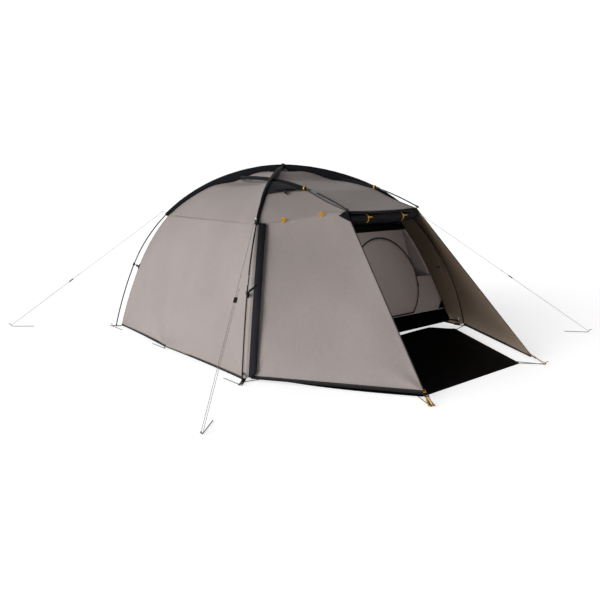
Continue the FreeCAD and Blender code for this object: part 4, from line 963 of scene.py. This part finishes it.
loops = Shape()
for side in (NEAR, FAR):
    centre = brow_arm(side, BROW_SLEEVE_Y + 0.006) - UP * 0.002
    ring = []
    for k in range(25):
        a = 2 * math.pi * k / 24
        ring.append(centre + Vector((math.cos(a) * 0.0125, 0, math.sin(a) * 0.0145)))
    outs = [(p - centre).normalized() for p in ring]
    band(loops, ring, BACKWARD, outs, 0.012, 0.0014)
    tail = [centre + Vector((-side * 0.004 * k, -0.004 * k, -0.0155 - 0.001 * k)) for k in range(7)]
    band(loops, tail, direction(side * 0.4, 1, 0), UP, 0.008, 0.0013)
loops.piece("brow_loops", "gold_webbing")

# ---------------------------------------------------------------- vents

VENT_LIFT = 0.026
corner_a, corner_b, corner_c = (triangle_point(*spot) for spot in ((0.5, 0), (0.5, 1), (0.9, 0.5)))
VENT_NORMAL = (corner_b - corner_a).cross(corner_c - corner_a).normalized()
VENT_NORMAL = VENT_NORMAL if VENT_NORMAL.z > 0 else -VENT_NORMAL


def hood_place(u, w):
    lift = VENT_LIFT * (1 - u) ** 1.2 * math.sin(math.pi * w) ** 0.8 + 0.0045
    return triangle_point(lerp(VENT_START - 0.02, 0.985, u), 0.015 + 0.96 * w) + VENT_NORMAL * lift


def net_place(u, w):
    return triangle_point(lerp(UPPER_TOP - 0.03, 0.99, u), 0.02 + 0.95 * w) + VENT_NORMAL * 0.0012


vent_edges = Shape()
for side, label in SIDE_NAMES.items():
    spots = [(mirrored(hood_place(0.0, w), side), 0.20, 0.0026, 9) for w in (0.0, 1.0)]
    hood = cloth_sheet("vent_hood_" + label, lambda u, w: mirrored(hood_place(u, w), side), 40, 40,
                       "black_fabric", replaces=["vent_hoods"], middle=TENT_MIDDLE,
                       ripple=lambda p, u, w: creases(p, spots)
                       + slack(0.05, 0.0016, side)(p, u, w))
    net = cloth_sheet("vent_net_" + label, lambda u, w: mirrored(net_place(u, w), side), 24, 24,
                      "net", middle=TENT_MIDDLE, thickness=0.0006)
    rod(vent_edges, [mirrored(hood_place(0.0, w), side) for w in steps(30)],
        0.0019, 8)
    tab = [mirrored(hood_place(0.0, 0.5) + VENT_NORMAL * 0.001 - VENT_NORMAL * 0.0035 * k
                    + Vector((-0.003, -0.004, -0.002)) * k, side) for k in range(7)]
    band(vent_edges, tab, mirrored((corner_b - corner_a).normalized(), side),
         mirrored(direction(-0.5, -0.6, 0.6), side), 0.016, 0.0014)
vent_edges.piece("vent_edge_binding", "black_tape")

# ---------------------------------------------------------------- zips and flaps


def in_wall(u, ahead, out):
    """A place beside the side zip: ahead along the wall, and out from it."""
    return zip_point(u) + ZIP_ALONG * ahead + ZIP_OUT * out


flaps, tapes, teeth = Shape(), Shape(), Shape()
for side in (NEAR, FAR):
    turn = lambda p: mirrored(p, side)
    rows = []
    for u in steps(70):
        row = []
        cut = eased(u / 0.035) * 0.5 + 0.5
        for w in steps(12):
            ahead = lerp(-0.009, 0.041 * cut if u < 0.035 else 0.041, w)
            out = 0.0185 + 0.004 * math.sin(math.pi * w) + 0.0012 * noise.noise(
                Vector((u * 7, w * 2, side * 3.0)))
            out += 0.0015 * math.cos(5 * math.pi * u) * w
            row.append(turn(in_wall(u, ahead, out)))
        rows.append(row)
    normal = mesh_normal(rows, 35, 6)
    flaps.grid(rows, flip=normal.dot(turn(ZIP_OUT)) < 0)
    line = [turn(in_wall(u, 0, 0.0032)) for u in steps(60)]
    band(tapes, line, turn(ZIP_ALONG), turn(ZIP_OUT), 0.026, 0.0010)
    back = [turn(in_wall(u, 0, -0.0036)) for u in steps(60)]
    band(tapes, back, turn(ZIP_ALONG), -turn(ZIP_OUT), 0.022, 0.0009)
    for i in range(300):
        u = 0.02 + 0.96 * i / 299
        shift = 0.0011 if i % 2 else -0.0011
        centre, reach = in_wall(u, shift, 0.0046), ZIP_ALONG * 0.0017
        rod(teeth, [turn(centre - reach), turn(centre + reach)], 0.00085, 6)
flap = flaps.piece("zip_flap_cloth", "black_fabric", replaces=["zip_flaps"])
thicken(flap, 0.0014)
tapes.piece("side_zip_tape", "zip_tape", replaces=["side_zips"])
teeth.piece("side_zip_coil", "black_plastic")

# ---------------------------------------------------------------- rolled door

ROLL_RADIUS, STRAP_X = 0.034, 0.175
roll_near = under_brow(NEAR, BROW_EDGE_Y) + Vector((0.014, -0.004, -ROLL_RADIUS - 0.013))
ROLL_HALF = -roll_near.x


def roll_centre(x):
    share = x / ROLL_HALF
    return Vector((x, roll_near.y, roll_near.z - 0.0045 * (1 - share * share)))


def roll_radius(x, angle):
    """The roll bulges between its straps and is squeezed under them."""
    share = abs(x) / ROLL_HALF
    radius = 0.0340 - 0.0035 * share - 0.008 * eased((share - 0.62) / 0.38)
    for strap in (-STRAP_X, STRAP_X):
        radius -= 0.0058 * math.exp(-((x - strap) / 0.018) ** 2)
    spiral = (angle + 0.9) % (2 * math.pi) / (2 * math.pi)
    wrinkle = noise.noise(Vector((x * 9, math.cos(angle) * 1.4, math.sin(angle) * 1.4))) * 0.0042
    wrinkle += noise.noise(Vector((x * 34, math.cos(angle) * 3, math.sin(angle) * 3))) * 0.0012
    return radius + 0.0030 * (spiral - 0.5) + wrinkle


def roll_ring(x, size=1.0):
    return [roll_centre(x) + Vector((0, math.cos(a), math.sin(a))) * roll_radius(x, a) * size
            for a in circle(48)]


roll = Shape()
rings = []
END_STEPS = ((0.002, 0.22), (0.0005, 0.40), (0.0035, 0.44), (0.0015, 0.66), (0.0045, 0.70),
             (0.002, 0.93))
for end in (-1, 1):
    rings.append([roll_ring(end * (ROLL_HALF - inset), size) for inset, size in END_STEPS])
body = [roll_ring(lerp(-ROLL_HALF + 0.001, ROLL_HALF - 0.001, t)) for t in steps(120)]
roll.tube(rings[0] + body + rings[1][::-1])
door_roll = roll.piece("door_roll", "black_fabric", replaces=["rolled_door"])


def door_flap_place(u, w):
    """The top of the door, from the roof's front edge down behind the roll's top."""
    x = lerp(-ROLL_HALF, ROLL_HALF, w)
    edge = roof_place(0.004, (x + 0.35) / 0.70) - UP * 0.0015
    onto = roll_centre(x) + Vector((0, -0.006 - 0.018 * u, 0.0335))
    bow = Vector((0, -0.004 * math.sin(math.pi * u), 0))
    return lerp(edge, onto, u) + bow


top_flap = cloth_sheet("door_top", door_flap_place, 12, 70, "black_fabric", middle=TENT_MIDDLE,
                       ripple=slack(0.06, 0.0014))

straps = Shape()
for side in (NEAR, FAR):
    centre = roll_centre(side * STRAP_X)
    ring, outs = [], []
    for k in range(41):
        a = 2 * math.pi * k / 40
        spoke = Vector((0, math.cos(a), math.sin(a)))
        ring.append(centre + spoke * (roll_radius(side * STRAP_X, a) + 0.0006))
        outs.append(spoke)
    band(straps, ring, ACROSS, outs, 0.0105, 0.0016)
straps.piece("roll_straps", "gold_webbing", replaces=["toggle_straps"])

# Loops that swing with the seam toggles, and the tabs that hold them to the seam.
seam_near, seam_far = triangle_point(0.0, 0.0), triangle_point(0.0, 1.0)
seam_along = (seam_far - seam_near).normalized()
seam_out = (Vector((seam_along.y, -seam_along.x, 0.0)) + UP * 0.5).normalized()
for side, label in SIDE_NAMES.items():
    rings = Shape()
    for spot in TOGGLE_SPOTS:
        centre = lerp(seam_near, seam_far, spot) + seam_out * 0.0085
        fall = seam_along.cross(seam_out).normalized()
        fall = fall if fall.z < 0 else -fall
        line, outs = [], []
        for k in range(33):
            a = 2 * math.pi * k / 32
            offset = seam_along * (math.cos(a) * 0.0145) + fall * (math.sin(a) * 0.0070 + 0.0008)
            line.append(mirrored(centre + offset + seam_out * 0.0078, side))
            outward = (seam_along * math.cos(a) + fall * math.sin(a)).normalized()
            outs.append(mirrored(outward, side))
        band(rings, line, mirrored(seam_out, side), outs, 0.005, 0.0026)
    rings.piece("seam_loops_" + label, "gold_webbing", label + "_seam_toggles")
    sewn = Shape()
    for spot in TOGGLE_SPOTS:
        rise = seam_out.cross(seam_along).normalized()
        rise = rise if rise.z > 0 else -rise
        line = [mirrored(triangle_point(0.0, spot) + seam_out * 0.0042 + rise * (
            -0.014 + 0.034 * k / 8), side) for k in range(9)]
        band(sewn, line, mirrored(seam_along, side), mirrored(seam_out, side), 0.017, 0.0020)
    sewn.piece("seam_tabs_" + label, "gold_webbing")

# ---------------------------------------------------------------- patches and tabs

patches = Shape()
for side in (NEAR, FAR):
    def corner_place(u, w):
        tip = door_edge(1.0)
        along_seam = triangle_point(0.0, 0.86)
        down_edge = door_edge(0.93)
        return mirrored(lerp(tip, lerp(along_seam, down_edge, w), 0.04 + 0.96 * u) + Vector(
            (-0.0018, -0.0010, 0.0012)), side)
    grid = [[corner_place(i / 12, j / 12) for j in range(13)] for i in range(13)]
    flip = mesh_normal(grid, 6, 6).dot(grid[6][6] - PORCH_MIDDLE) < 0
    patches.grid(grid, flip=flip)
corner_patches = patches.piece("corner_patches", "black_fabric")
thicken(corner_patches, 0.0014)

tabs = Shape()
for side in (NEAR, FAR):
    tip = brow_arm(side, BROW_TIP_Y - 0.004)
    line = [lerp(tip, mirrored(door_edge(1.0), side) + Vector((0, 0, -0.001)), t / 8)
            + Vector((0, -0.005 * math.sin(math.pi * t / 8), 0)) for t in range(9)]
    band(tabs, line, ACROSS, FORWARD, 0.014, 0.0016)
    tail = [mirrored(door_edge(1.0), side) + Vector((side * -0.004, -0.004 - 0.002 * k, -0.006 * k))
            for k in range(8)]
    band(tabs, tail, ACROSS, direction(0, -1, 0.2), 0.009, 0.0012)
tabs.piece("brow_tip_tabs", "black_webbing")

hangers = Shape()
for side in (NEAR, FAR):
    spot = mirrored(porch_place(0.655, 0.80), side) + Vector((-side * 0.006, 0, 0))
    drop = [spot + Vector((-side * 0.0012 * k, 0.0, -0.0075 * k)) for k in range(8)]
    band(hangers, drop, BACKWARD, Vector((-side, 0, 0)), 0.018, 0.0022)
hangers.piece("door_hangers", "gold_webbing")

leg_bands = Shape()
for key, half in HALVES.items():
    distance = half.at_height(LEG_CLIP_HEIGHT)
    spot, inward = half.point(distance), half.outward(distance) * -1
    reach = (fly_edge(*key, distance) - spot).dot(inward)
    along = half.tangent(distance)
    across = along.cross(inward).normalized()
    line = [spot + inward * lerp(0.0185, reach - 0.0005, t / 8)
            - UP * (0.0015 * math.sin(math.pi * t / 8)) for t in range(9)]
    band(leg_bands, line, along, across, 0.016, 0.0022)
    patch_line = [fly_edge(*key, distance + d) - inward * 0.0016 for d in
                  (-0.022, -0.011, 0.0, 0.011, 0.022)]
    band(leg_bands, patch_line, across, inward * -1, 0.020, 0.0012)
for side in (NEAR, FAR):
    half = HALVES[(FRONT, side)]
    distance = half.at_height(LEG_CLIP_HEIGHT)
    spot = half.point(distance)
    onto = mirrored(in_wall(0.555, 0.012, 0.0215), side)
    line = [lerp(spot, onto, 0.18 + 0.82 * t / 8) for t in range(9)]
    band(leg_bands, line, UP, mirrored(ZIP_OUT, side), 0.016, 0.0020)
leg_bands.piece("leg_clip_straps", "black_webbing", replaces=["leg_straps"])

# ---------------------------------------------------------------- feet

PIN_START, TAB_HEIGHT = 0.013, 0.0054
WEBBING = 0.025
foot_tabs = Shape()
for key, half in HALVES.items():
    pin = half.point(PIN_START)
    base = Vector((pin.x, pin.y, TAB_HEIGHT))
    heading = half.heading
    across = heading.cross(UP).normalized()
    line = [base + heading * d for d in (-0.026, -0.01, 0.0, 0.02, 0.04, 0.06, 0.08, 0.094)]
    line = [p + UP * (0.010 * eased((d - 3) / 4)) for d, p in enumerate(line)]
    band(foot_tabs, line, across, UP, WEBBING, 0.0016)
    for edge in (-1, 1):
        leg = [base + across * (edge * 0.0096) + heading * d for d in (-0.050, -0.040, -0.026)]
        band(foot_tabs, leg, across, UP, 0.0058, 0.0016)
    cross = [base - heading * 0.0448 + across * d for d in (-0.0125, 0.0, 0.0125)]
    band(foot_tabs, cross, heading, UP, 0.0052, 0.0017)
    rise = [base + heading * 0.090 + UP * 0.010, base + heading * 0.105 + UP * 0.024,
            base + heading * 0.118 + UP * 0.046]
    band(foot_tabs, rise, across, (UP - heading).normalized(), 0.018, 0.0016)
for side in (NEAR, FAR):
    base = at(side * 1.092, PEG_LOOP_Y, TAB_HEIGHT)
    inner = Vector((-side, 0, 0))
    hem_point = WALLS[SIDE_NAMES[side]](0.0, 0.53)
    pull = [base + inner * -0.007, base + inner * 0.006, base + inner * 0.016 + UP * 0.003,
            Vector((hem_point.x, base.y, HEM_HEIGHT + 0.004)) + inner * -0.002]
    for edge in (-1, 1):
        leg = [base + inner * d + Vector((0, edge * 0.0056, 0)) for d in (-0.0075, 0.0, 0.008)]
        band(foot_tabs, leg, BACKWARD, UP, 0.0045, 0.0016)
    band(foot_tabs, pull[2:], BACKWARD, (UP - inner).normalized(), 0.016, 0.0016)
foot_tabs.piece("foot_tabs", "black_webbing", replaces=["foot_webbing"])

pull_downs = Shape()
for side in (NEAR, FAR):
    corner = mirrored(door_edge(0.0), side)
    peg = at(side * 0.600, -0.985, 0.009)
    line_down = (peg - corner).normalized()
    across = line_down.cross(UP).normalized()
    out = across.cross(line_down).normalized()
    span = (peg - corner).length
    loop_tab = [corner + line_down * d + out * 0.001 for d in (-0.020, -0.008, 0.0, 0.006)]
    band(pull_downs, loop_tab, across, out, 0.018, 0.0016)
    for edge, spread in ((-1, 0.012), (1, 0.010)):
        line = [corner + line_down * lerp(0.034, span + 0.004, t / 8)
                + across * edge * (0.0055 + spread * (t / 8)) - UP * (0.004 * math.sin(
                    math.pi * t / 8)) + out * 0.001 for t in range(9)]
        band(pull_downs, line, across, out, 0.0105, 0.0016)
    loop_end = [corner + line_down * (span + 0.002) + across * d for d in
                (-0.018, -0.009, 0.0, 0.009, 0.016)]
    loop_end = [p + out * 0.0012 for p in loop_end]
    band(pull_downs, loop_end, line_down, out, 0.008, 0.0017)
pull_downs.piece("corner_pull_downs", "gold_webbing", replaces=["corner_webbing"])

# ---------------------------------------------------------------- inner tent

INNER_SCALE, INNER_SEAM, TUB_TOP, INNER_TOP, INNER_BASE = 0.92, 0.850, 0.150, 1.150, 0.012


def inner_anchor(height):
    point = A_FRONT.point(A_FRONT.at_height(height / INNER_SCALE))
    return APEX.y + (point.y - APEX.y) * INNER_SCALE


def inner_corner(end, side, height):
    """Inner tent corner under a pole: the pole line shrunk towards the tent's middle."""
    half = HALVES[(end, side)]
    point = half.point(half.at_height(min(height / INNER_SCALE, APEX_HEIGHT - 0.002)))
    base = Vector((APEX.x, APEX.y, 0))
    placed = base + (Vector((point.x, point.y, 0)) - base) * INNER_SCALE
    placed.z = height
    if end == FRONT and height < INNER_SEAM:
        low, high = inner_anchor(INNER_BASE), inner_anchor(INNER_SEAM)
        placed.y = lerp(low, high, (height - INNER_BASE) / (INNER_SEAM - INNER_BASE))
    return placed


def inner_between(key_a, key_b, low, high):
    def place(u, w):
        height = lerp(low, high, u)
        point = lerp(inner_corner(*key_a, height), inner_corner(*key_b, height), 0.006 + 0.988 * w)
        sag = 0.010 * 4 * w * (1 - w) * math.sin(math.pi * u)
        towards = direction(APEX.x - point.x, APEX.y - point.y, 0)
        return point + towards * sag
    return place


def inner_ripple(seed):
    return lambda p, u, w: slack(0.16, 0.0045, seed)(p, u, w) + slack(0.05, 0.0012, seed)(p, u, w)


INNER_BASE_LINE = TUB_TOP + 0.002
for label, keys, node in (("near", ((FRONT, NEAR), (REAR, NEAR)), "inner_side_near"),
                          ("far", ((FRONT, FAR), (REAR, FAR)), "inner_side_far"),
                          ("back", ((REAR, NEAR), (REAR, FAR)), "inner_rear")):
    inner = cloth_sheet("inner_" + label, inner_between(*keys, INNER_BASE_LINE, INNER_TOP), 60, 60,
                        "inner_cloth", replaces=[node], ripple=inner_ripple(len(label)),
                        thickness=0.0008)
inner_roof = cloth_sheet("inner_roof_net", inner_between((FRONT, NEAR), (FRONT, FAR),
                                                         INNER_SEAM + 0.003, INNER_TOP), 34, 50,
                         "net", replaces=["inner_roof_front"], ripple=inner_ripple(9),
                         thickness=0.0006)

wall_low, wall_high = inner_anchor(INNER_BASE), inner_anchor(INNER_SEAM)
LEAN = math.atan2(wall_high - wall_low, INNER_SEAM - INNER_BASE)
WALL_FOOT = Vector((0, lerp(wall_low, wall_high, (INNER_BASE_LINE - INNER_BASE) / (
    INNER_SEAM - INNER_BASE)), INNER_BASE_LINE))
WALL_UP = Vector((0, math.sin(LEAN), math.cos(LEAN)))
WALL_OUT = Vector((0, -math.cos(LEAN), math.sin(LEAN)))
WALL_SLOPE = (INNER_SEAM - 0.002 - INNER_BASE_LINE) / math.cos(LEAN)
ARC_X, ARC_Y, ARC_RADIUS = 0.405, 0.288, 0.345
DOOR_LEFT, DOOR_BOTTOM = 0.060, 0.018
FOOT_STEPS, ARC_STEPS = 24, 160
BAND_START = WALL_SLOPE - 0.052


def on_wall(x, y, out=0.0):
    return WALL_FOOT + Vector((x, 0, 0)) + WALL_UP * y + WALL_OUT * out


def wall_half(y):
    height = INNER_BASE_LINE + y * math.cos(LEAN)
    return inner_corner(FRONT, FAR, height).x - 0.0015


def door_side(y):
    """Distance out to the door's round side at a height up the wall."""
    reach = ARC_RADIUS ** 2 - (y - ARC_Y) ** 2
    return ARC_X + math.sqrt(max(0.0, reach))


DOOR_TOP = ARC_Y + math.sqrt(ARC_RADIUS ** 2 - (DOOR_LEFT - ARC_X) ** 2 + 1e-9)


def door_outline():
    """Points round the D: along the foot, round the arc, down the hinge side."""
    foot_right = door_side(DOOR_BOTTOM)
    start = math.atan2(DOOR_BOTTOM - ARC_Y, foot_right - ARC_X)
    stop = math.atan2(DOOR_TOP - ARC_Y, DOOR_LEFT - ARC_X)
    points = [(lerp(DOOR_LEFT, foot_right, t), DOOR_BOTTOM) for t in steps(FOOT_STEPS)[:-1]]
    points += [(ARC_X + ARC_RADIUS * math.cos(a), ARC_Y + ARC_RADIUS * math.sin(a))
               for a in (lerp(start, stop, t) for t in steps(ARC_STEPS)[:-1])]
    points += [(DOOR_LEFT, lerp(DOOR_TOP, DOOR_BOTTOM, t)) for t in steps(FOOT_STEPS)[:-1]]
    return points


def wall_relief(x, y):
    """Soft unevenness of the hung front wall."""
    held = min(1.0, 8 * y, 8 * (WALL_SLOPE - y))
    return held * (0.005 * noise.noise(Vector((x * 3.1, y * 3.4, 0.2)))
                   + 0.0015 * noise.noise(Vector((x * 11, y * 9, 2.2))))


def front_wall_pieces():
    """The wall round the door as rings from the outline out to the wall's edge, and the door."""
    outline = door_outline()
    wall_rows, door_rows = [], []
    centre = (0.36, 0.30)
    for step in range(15):
        share = step / 14
        row = []
        for x, y in outline:
            dx, dy = x - centre[0], y - centre[1]
            limits = []
            if dy > 0:
                limits.append((WALL_SLOPE - centre[1]) / dy)
            if dy < 0:
                limits.append((0.0 - centre[1]) / dy)
            scale = min(limits) if limits else 1e9
            for _ in range(6):
                reach_y = centre[1] + dy * scale
                half = wall_half(min(max(reach_y, 0.0), WALL_SLOPE))
                target = half if dx > 0 else -half
                if dx and (centre[0] + dx * scale - target) * (1 if dx > 0 else -1) > 0:
                    scale = (target - centre[0]) / dx
            px, py = lerp(x, centre[0] + dx * scale, share), lerp(y, centre[1] + dy * scale, share)
            row.append(on_wall(px, py, wall_relief(px, py)))
        wall_rows.append(row)
    for step in range(15):
        share = step / 14
        door_rows.append([on_wall(lerp(centre[0], x, share), lerp(centre[1], y, share), wall_relief(
            lerp(centre[0], x, share), lerp(centre[1], y, share))) for x, y in outline])
    return wall_rows, door_rows


wall_rows, door_rows = front_wall_pieces()
for name, rows, node, size, area in (
        ("inner_front_cloth", wall_rows, "inner_front_wall", (1.98, 0.72), 0.85),
        ("inner_door_cloth", door_rows, "inner_door", (0.70, 0.62), 0.36)):
    shape = Shape()
    shape.grid(rows, wrap=True, flip=mesh_normal(rows, 7, 30).dot(WALL_OUT) < 0)
    piece = shape.piece(name, "inner_cloth", replaces=[node])
    thicken(piece, 0.0008)

net_band = cloth_sheet("front_net_band", lambda u, w: on_wall(
    lerp(-1, 1, w) * wall_half(lerp(BAND_START, WALL_SLOPE, u)), lerp(BAND_START, WALL_SLOPE, u),
    0.003), 6, 60, "net", middle=TENT_MIDDLE, thickness=0.0006)

zip_band, zip_coil = Shape(), Shape()
outline = door_outline()
arc_count = FOOT_STEPS + ARC_STEPS
line, sides = [], []
for index in range(arc_count):
    x, y = outline[index]
    before, after = outline[max(index - 1, 0)], outline[index + 1]
    along = Vector((after[0] - before[0], after[1] - before[1]))
    side = (ACROSS * along.y - WALL_UP * along.x).normalized()
    line.append(on_wall(x, y, wall_relief(x, y) + 0.0008))
    sides.append(side)
band(zip_band, line, sides, WALL_OUT, 0.010, 0.0010)
zip_band.piece("inner_zip_tape", "zip_tape", replaces=["inner_zip"])
for index in range(0, arc_count - 1):
    for half_step in (0.0, 0.5):
        spot = lerp(line[index], line[index + 1], half_step) + WALL_OUT * 0.0012
        rod(zip_coil, [spot - sides[index] * 0.0018, spot + sides[index] * 0.0018], 0.0008, 5)
zip_coil.piece("inner_zip_coil", "black_plastic")

# Bathtub floor: its front edge is pulled up off the ground by the corner straps.


TUB_ORDER = ((FRONT, NEAR), (FRONT, FAR), (REAR, FAR), (REAR, NEAR))


def tub_edge(t, height):
    """A point round the tub at a height: t runs once round its four sides."""
    index, share = int(t) % 4, t - int(t)
    return lerp(inner_corner(*TUB_ORDER[index], height),
                inner_corner(*TUB_ORDER[(index + 1) % 4], height), share)


def tub_lift(point):
    """How far the floor hangs clear of the ground near its front edge."""
    front = inner_anchor(INNER_BASE)
    return 0.036 * (1 - eased((point.y - front) / 0.22))


tub = Shape()
rows = []
TUB_STEPS, TUB_FLOOR = 160, 0.0085
profile = ((TUB_TOP, 0.0), (0.118, 0.0015), (0.085, 0.0), (0.052, 0.001), (0.028, 0.004),
           (0.015, 0.012), (0.0095, 0.026), (TUB_FLOOR, 0.060))
for height, inset in profile:
    row = []
    for step in range(TUB_STEPS):
        t = 4 * step / TUB_STEPS
        point = tub_edge(t, max(height, INNER_BASE))
        towards = direction(APEX.x - point.x, APEX.y - point.y, 0)
        wave = 0.0022 * noise.noise(Vector((point.x * 5, point.y * 5, height * 12)))
        point = point + towards * (inset + wave)
        share = 1 - (height - TUB_FLOOR) / (TUB_TOP - TUB_FLOOR)
        bow = 0.012 * (1 - share) * math.sin(math.pi * t) if t < 1 else 0
        point.z = height + tub_lift(point) * share + bow
        row.append(point)
    rows.append(row)
centre = Vector((APEX.x, APEX.y, TUB_FLOOR))
for shrink in (0.8, 0.6, 0.4, 0.2, 0.05):
    row = []
    for point in rows[len(profile) - 1]:
        spot = centre + (point - centre) * shrink
        spot.z = TUB_FLOOR + tub_lift(spot) + 0.002 * abs(noise.noise(spot * 5))
        row.append(spot)
    rows.append(row)
tub.grid(rows, wrap=True, flip=mesh_normal(rows, 2, 20).dot(rows[2][20] - TENT_MIDDLE) < 0)
tub_floor = tub.piece("tub_floor", "groundsheet", replaces=["inner_floor"])
thicken(tub_floor, 0.0014)

corner_ties = Shape()
for side in (NEAR, FAR):
    low = inner_corner(FRONT, side, 0.060) + Vector((0, -0.002, 0))
    foot_point = HALVES[(FRONT, side)].point(0.02)
    band(corner_ties, straight(low, foot_point + UP * 0.02),
         Vector((0, 0, 1)), FORWARD, 0.012, 0.0014)
    clip = HALVES[(FRONT, side)].point(HALVES[(FRONT, side)].at_height(0.503))
    inner_clip = lerp(inner_corner(FRONT, side, 0.483), clip, 0.42)
    band(corner_ties, straight(inner_clip, clip), Vector((0, 0, 1)),
         FORWARD, 0.010, 0.0012)
    spread = [[on_wall(side * (wall_half(0.004 + 0.075 * i / 8) - 0.002
                               - 0.085 * (1 - i / 8) * j / 8), 0.004 + 0.075 * i / 8, 0.0065)
               for j in range(9)] for i in range(9)]
    corner_ties.grid(spread, flip=mesh_normal(spread, 4, 4).dot(WALL_OUT) < 0)
corner_ties.piece("inner_corner_ties", "black_webbing")

# ---------------------------------------------------------------- groundsheet


def porch_floor_place(u, w):
    """The groundsheet under the vestibule, from its front edge back towards the tub."""
    front = lerp(at(-0.502, -0.850, 0), at(0.504, -0.860, 0), w)
    far_back = 0.138 + 0.037 * eased((w - 0.6) / 0.3) - 0.16 * eased((w - 0.93) / 0.07)
    near_back = 0.138 - 0.05 * eased((0.08 - w) / 0.08)
    back = at(lerp(-1.000, 1.005, w), near_back if w < 0.5 else far_back, 0)
    point = lerp(front, back, u)
    point.x -= 0.052 * math.sin(math.pi * u) * (1 - w) ** 2
    spot = Vector((point.x * 4.5, point.y * 4.5, 0.4))
    ripple = abs(noise.noise(spot)) * 0.0035 + abs(noise.noise(spot * 3)) * 0.0012
    edge = min(1.0, 10 * u, 10 * (1 - u), 10 * w, 10 * (1 - w))
    point.z = 0.0016 + ripple * edge
    return point


porch_floor = cloth_sheet("groundsheet_porch", porch_floor_place, 70, 90, "groundsheet",
                          replaces=["footprint"], middle=at(0, -0.3, -1), thickness=0.0012)


def tent_floor_place(u, w):
    low = at(lerp(-0.985, 0.985, w), 0.245, 0)
    high = lerp(inner_corner(REAR, NEAR, INNER_BASE), inner_corner(REAR, FAR, INNER_BASE), w)
    point = lerp(low, Vector((high.x * 0.965, high.y - 0.020, 0)), u)
    point.z = 0.0014 + 0.0016 * abs(noise.noise(Vector((point.x * 5, point.y * 5, 3.0))))
    return point


tent_floor = cloth_sheet("groundsheet_tent", tent_floor_place, 40, 50, "groundsheet",
                         replaces=["footprint"], middle=at(0, 0.9, -1), thickness=0.0012)

floor_ties = Shape()
for side in (NEAR, FAR):
    front = at(side * 0.478, -0.842, 0.003)
    peg = at(side * 0.600, -0.985, 0.006)
    line = straight(front, peg)
    across = (peg - front).normalized().cross(UP)
    band(floor_ties, line, across, UP, 0.010, 0.0014)
    foot_point = HALVES[(FRONT, side)].point(0.0)
    back = at(side * 0.975, -0.02, 0.003)
    line = [lerp(back, Vector((foot_point.x, foot_point.y, 0.0045)) - HALVES[
        (FRONT, side)].heading * -0.02, t / 8) for t in range(9)]
    band(floor_ties, line, (line[-1] - line[0]).normalized().cross(UP), UP, 0.010, 0.0012)
floor_ties.piece("groundsheet_ties", "black_webbing")

# ---------------------------------------------------------------- kept CAD parts

NODE_MATERIALS = {
    "pole": ["pole_a_tubes", "pole_b_tubes", "brow_pole_tubes"],
    "ferrule": ["pole_ferrules"],
    "elastic": ["pole_shock_cords"],
    "black_plastic": ["pole_end_fittings", "leg_clips", "corner_buckles", "vent_prop_near",
                      "vent_prop_far", "runner_front_near", "runner_front_far", "runner_rear_near",
                      "runner_rear_far"],
    "brass": ["foot_grommets"],
    "steel_ring": ["guy_rings"],
    "peg_steel": ["ground_pegs", "guy_pegs"],
    "zip_metal": ["zip_slider_near", "zip_slider_far", "inner_zip_slider"],
    "gold_plastic": ["door_toggle_near", "door_toggle_far", "side_toggles_near",
                     "side_toggles_far"],
}
for material, nodes in NODE_MATERIALS.items():
    for node in nodes:
        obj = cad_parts[node]
        obj.data.materials.clear()
        obj.data.materials.append(MATERIALS[material])

# ---------------------------------------------------------------- floor and light

floor_shape = bpy.data.meshes.new("studio_floor")
REACH = 120.0
corners = [(x * REACH, y * REACH, -0.0005) for x, y in ((-1, -1), (1, -1), (1, 1), (-1, 1))]
floor_shape.from_pydata(corners, [], [(0, 1, 2, 3)])
floor = link(bpy.data.objects.new("studio_floor", floor_shape))
floor_paint = Paint("studio_floor")
floor_shape.materials.append(floor_paint.set(Base_Color=(0.55, 0.55, 0.55, 1), Roughness=0.9,
                                             Specular_IOR_Level=0.1,
                                             Emission_Color=(1, 1, 1, 1), Emission_Strength=0.67))

world = bpy.data.worlds.new("studio")
scene.world = world
world.use_nodes = True
sky, glow = Nodes(world.node_tree), world.node_tree.nodes["Background"]
split = sky.add("ShaderNodeSeparateXYZ", {"Vector": sky.place("Generated")})
fall = sky.ranged(split.outputs["Z"], 1.02, 0.02, 0.30, 0.85)
front = sky.ranged(split.outputs["Y"], 0.42, 1.0, -0.8, -0.1)
sky.plug(glow.inputs["Strength"], sky.math("MULTIPLY", fall, front))
glow.inputs["Color"].default_value = (1, 1, 1, 1)

key = link(bpy.data.objects.new("key", bpy.data.lights.new("key", "SUN")))
key.data.energy = 4.2
key.data.angle = math.radians(45)
key.rotation_euler = Vector((0.93, -0.10, -0.27)).to_track_quat("-Z", "Y").to_euler()
scene.view_settings.view_transform = "Standard"
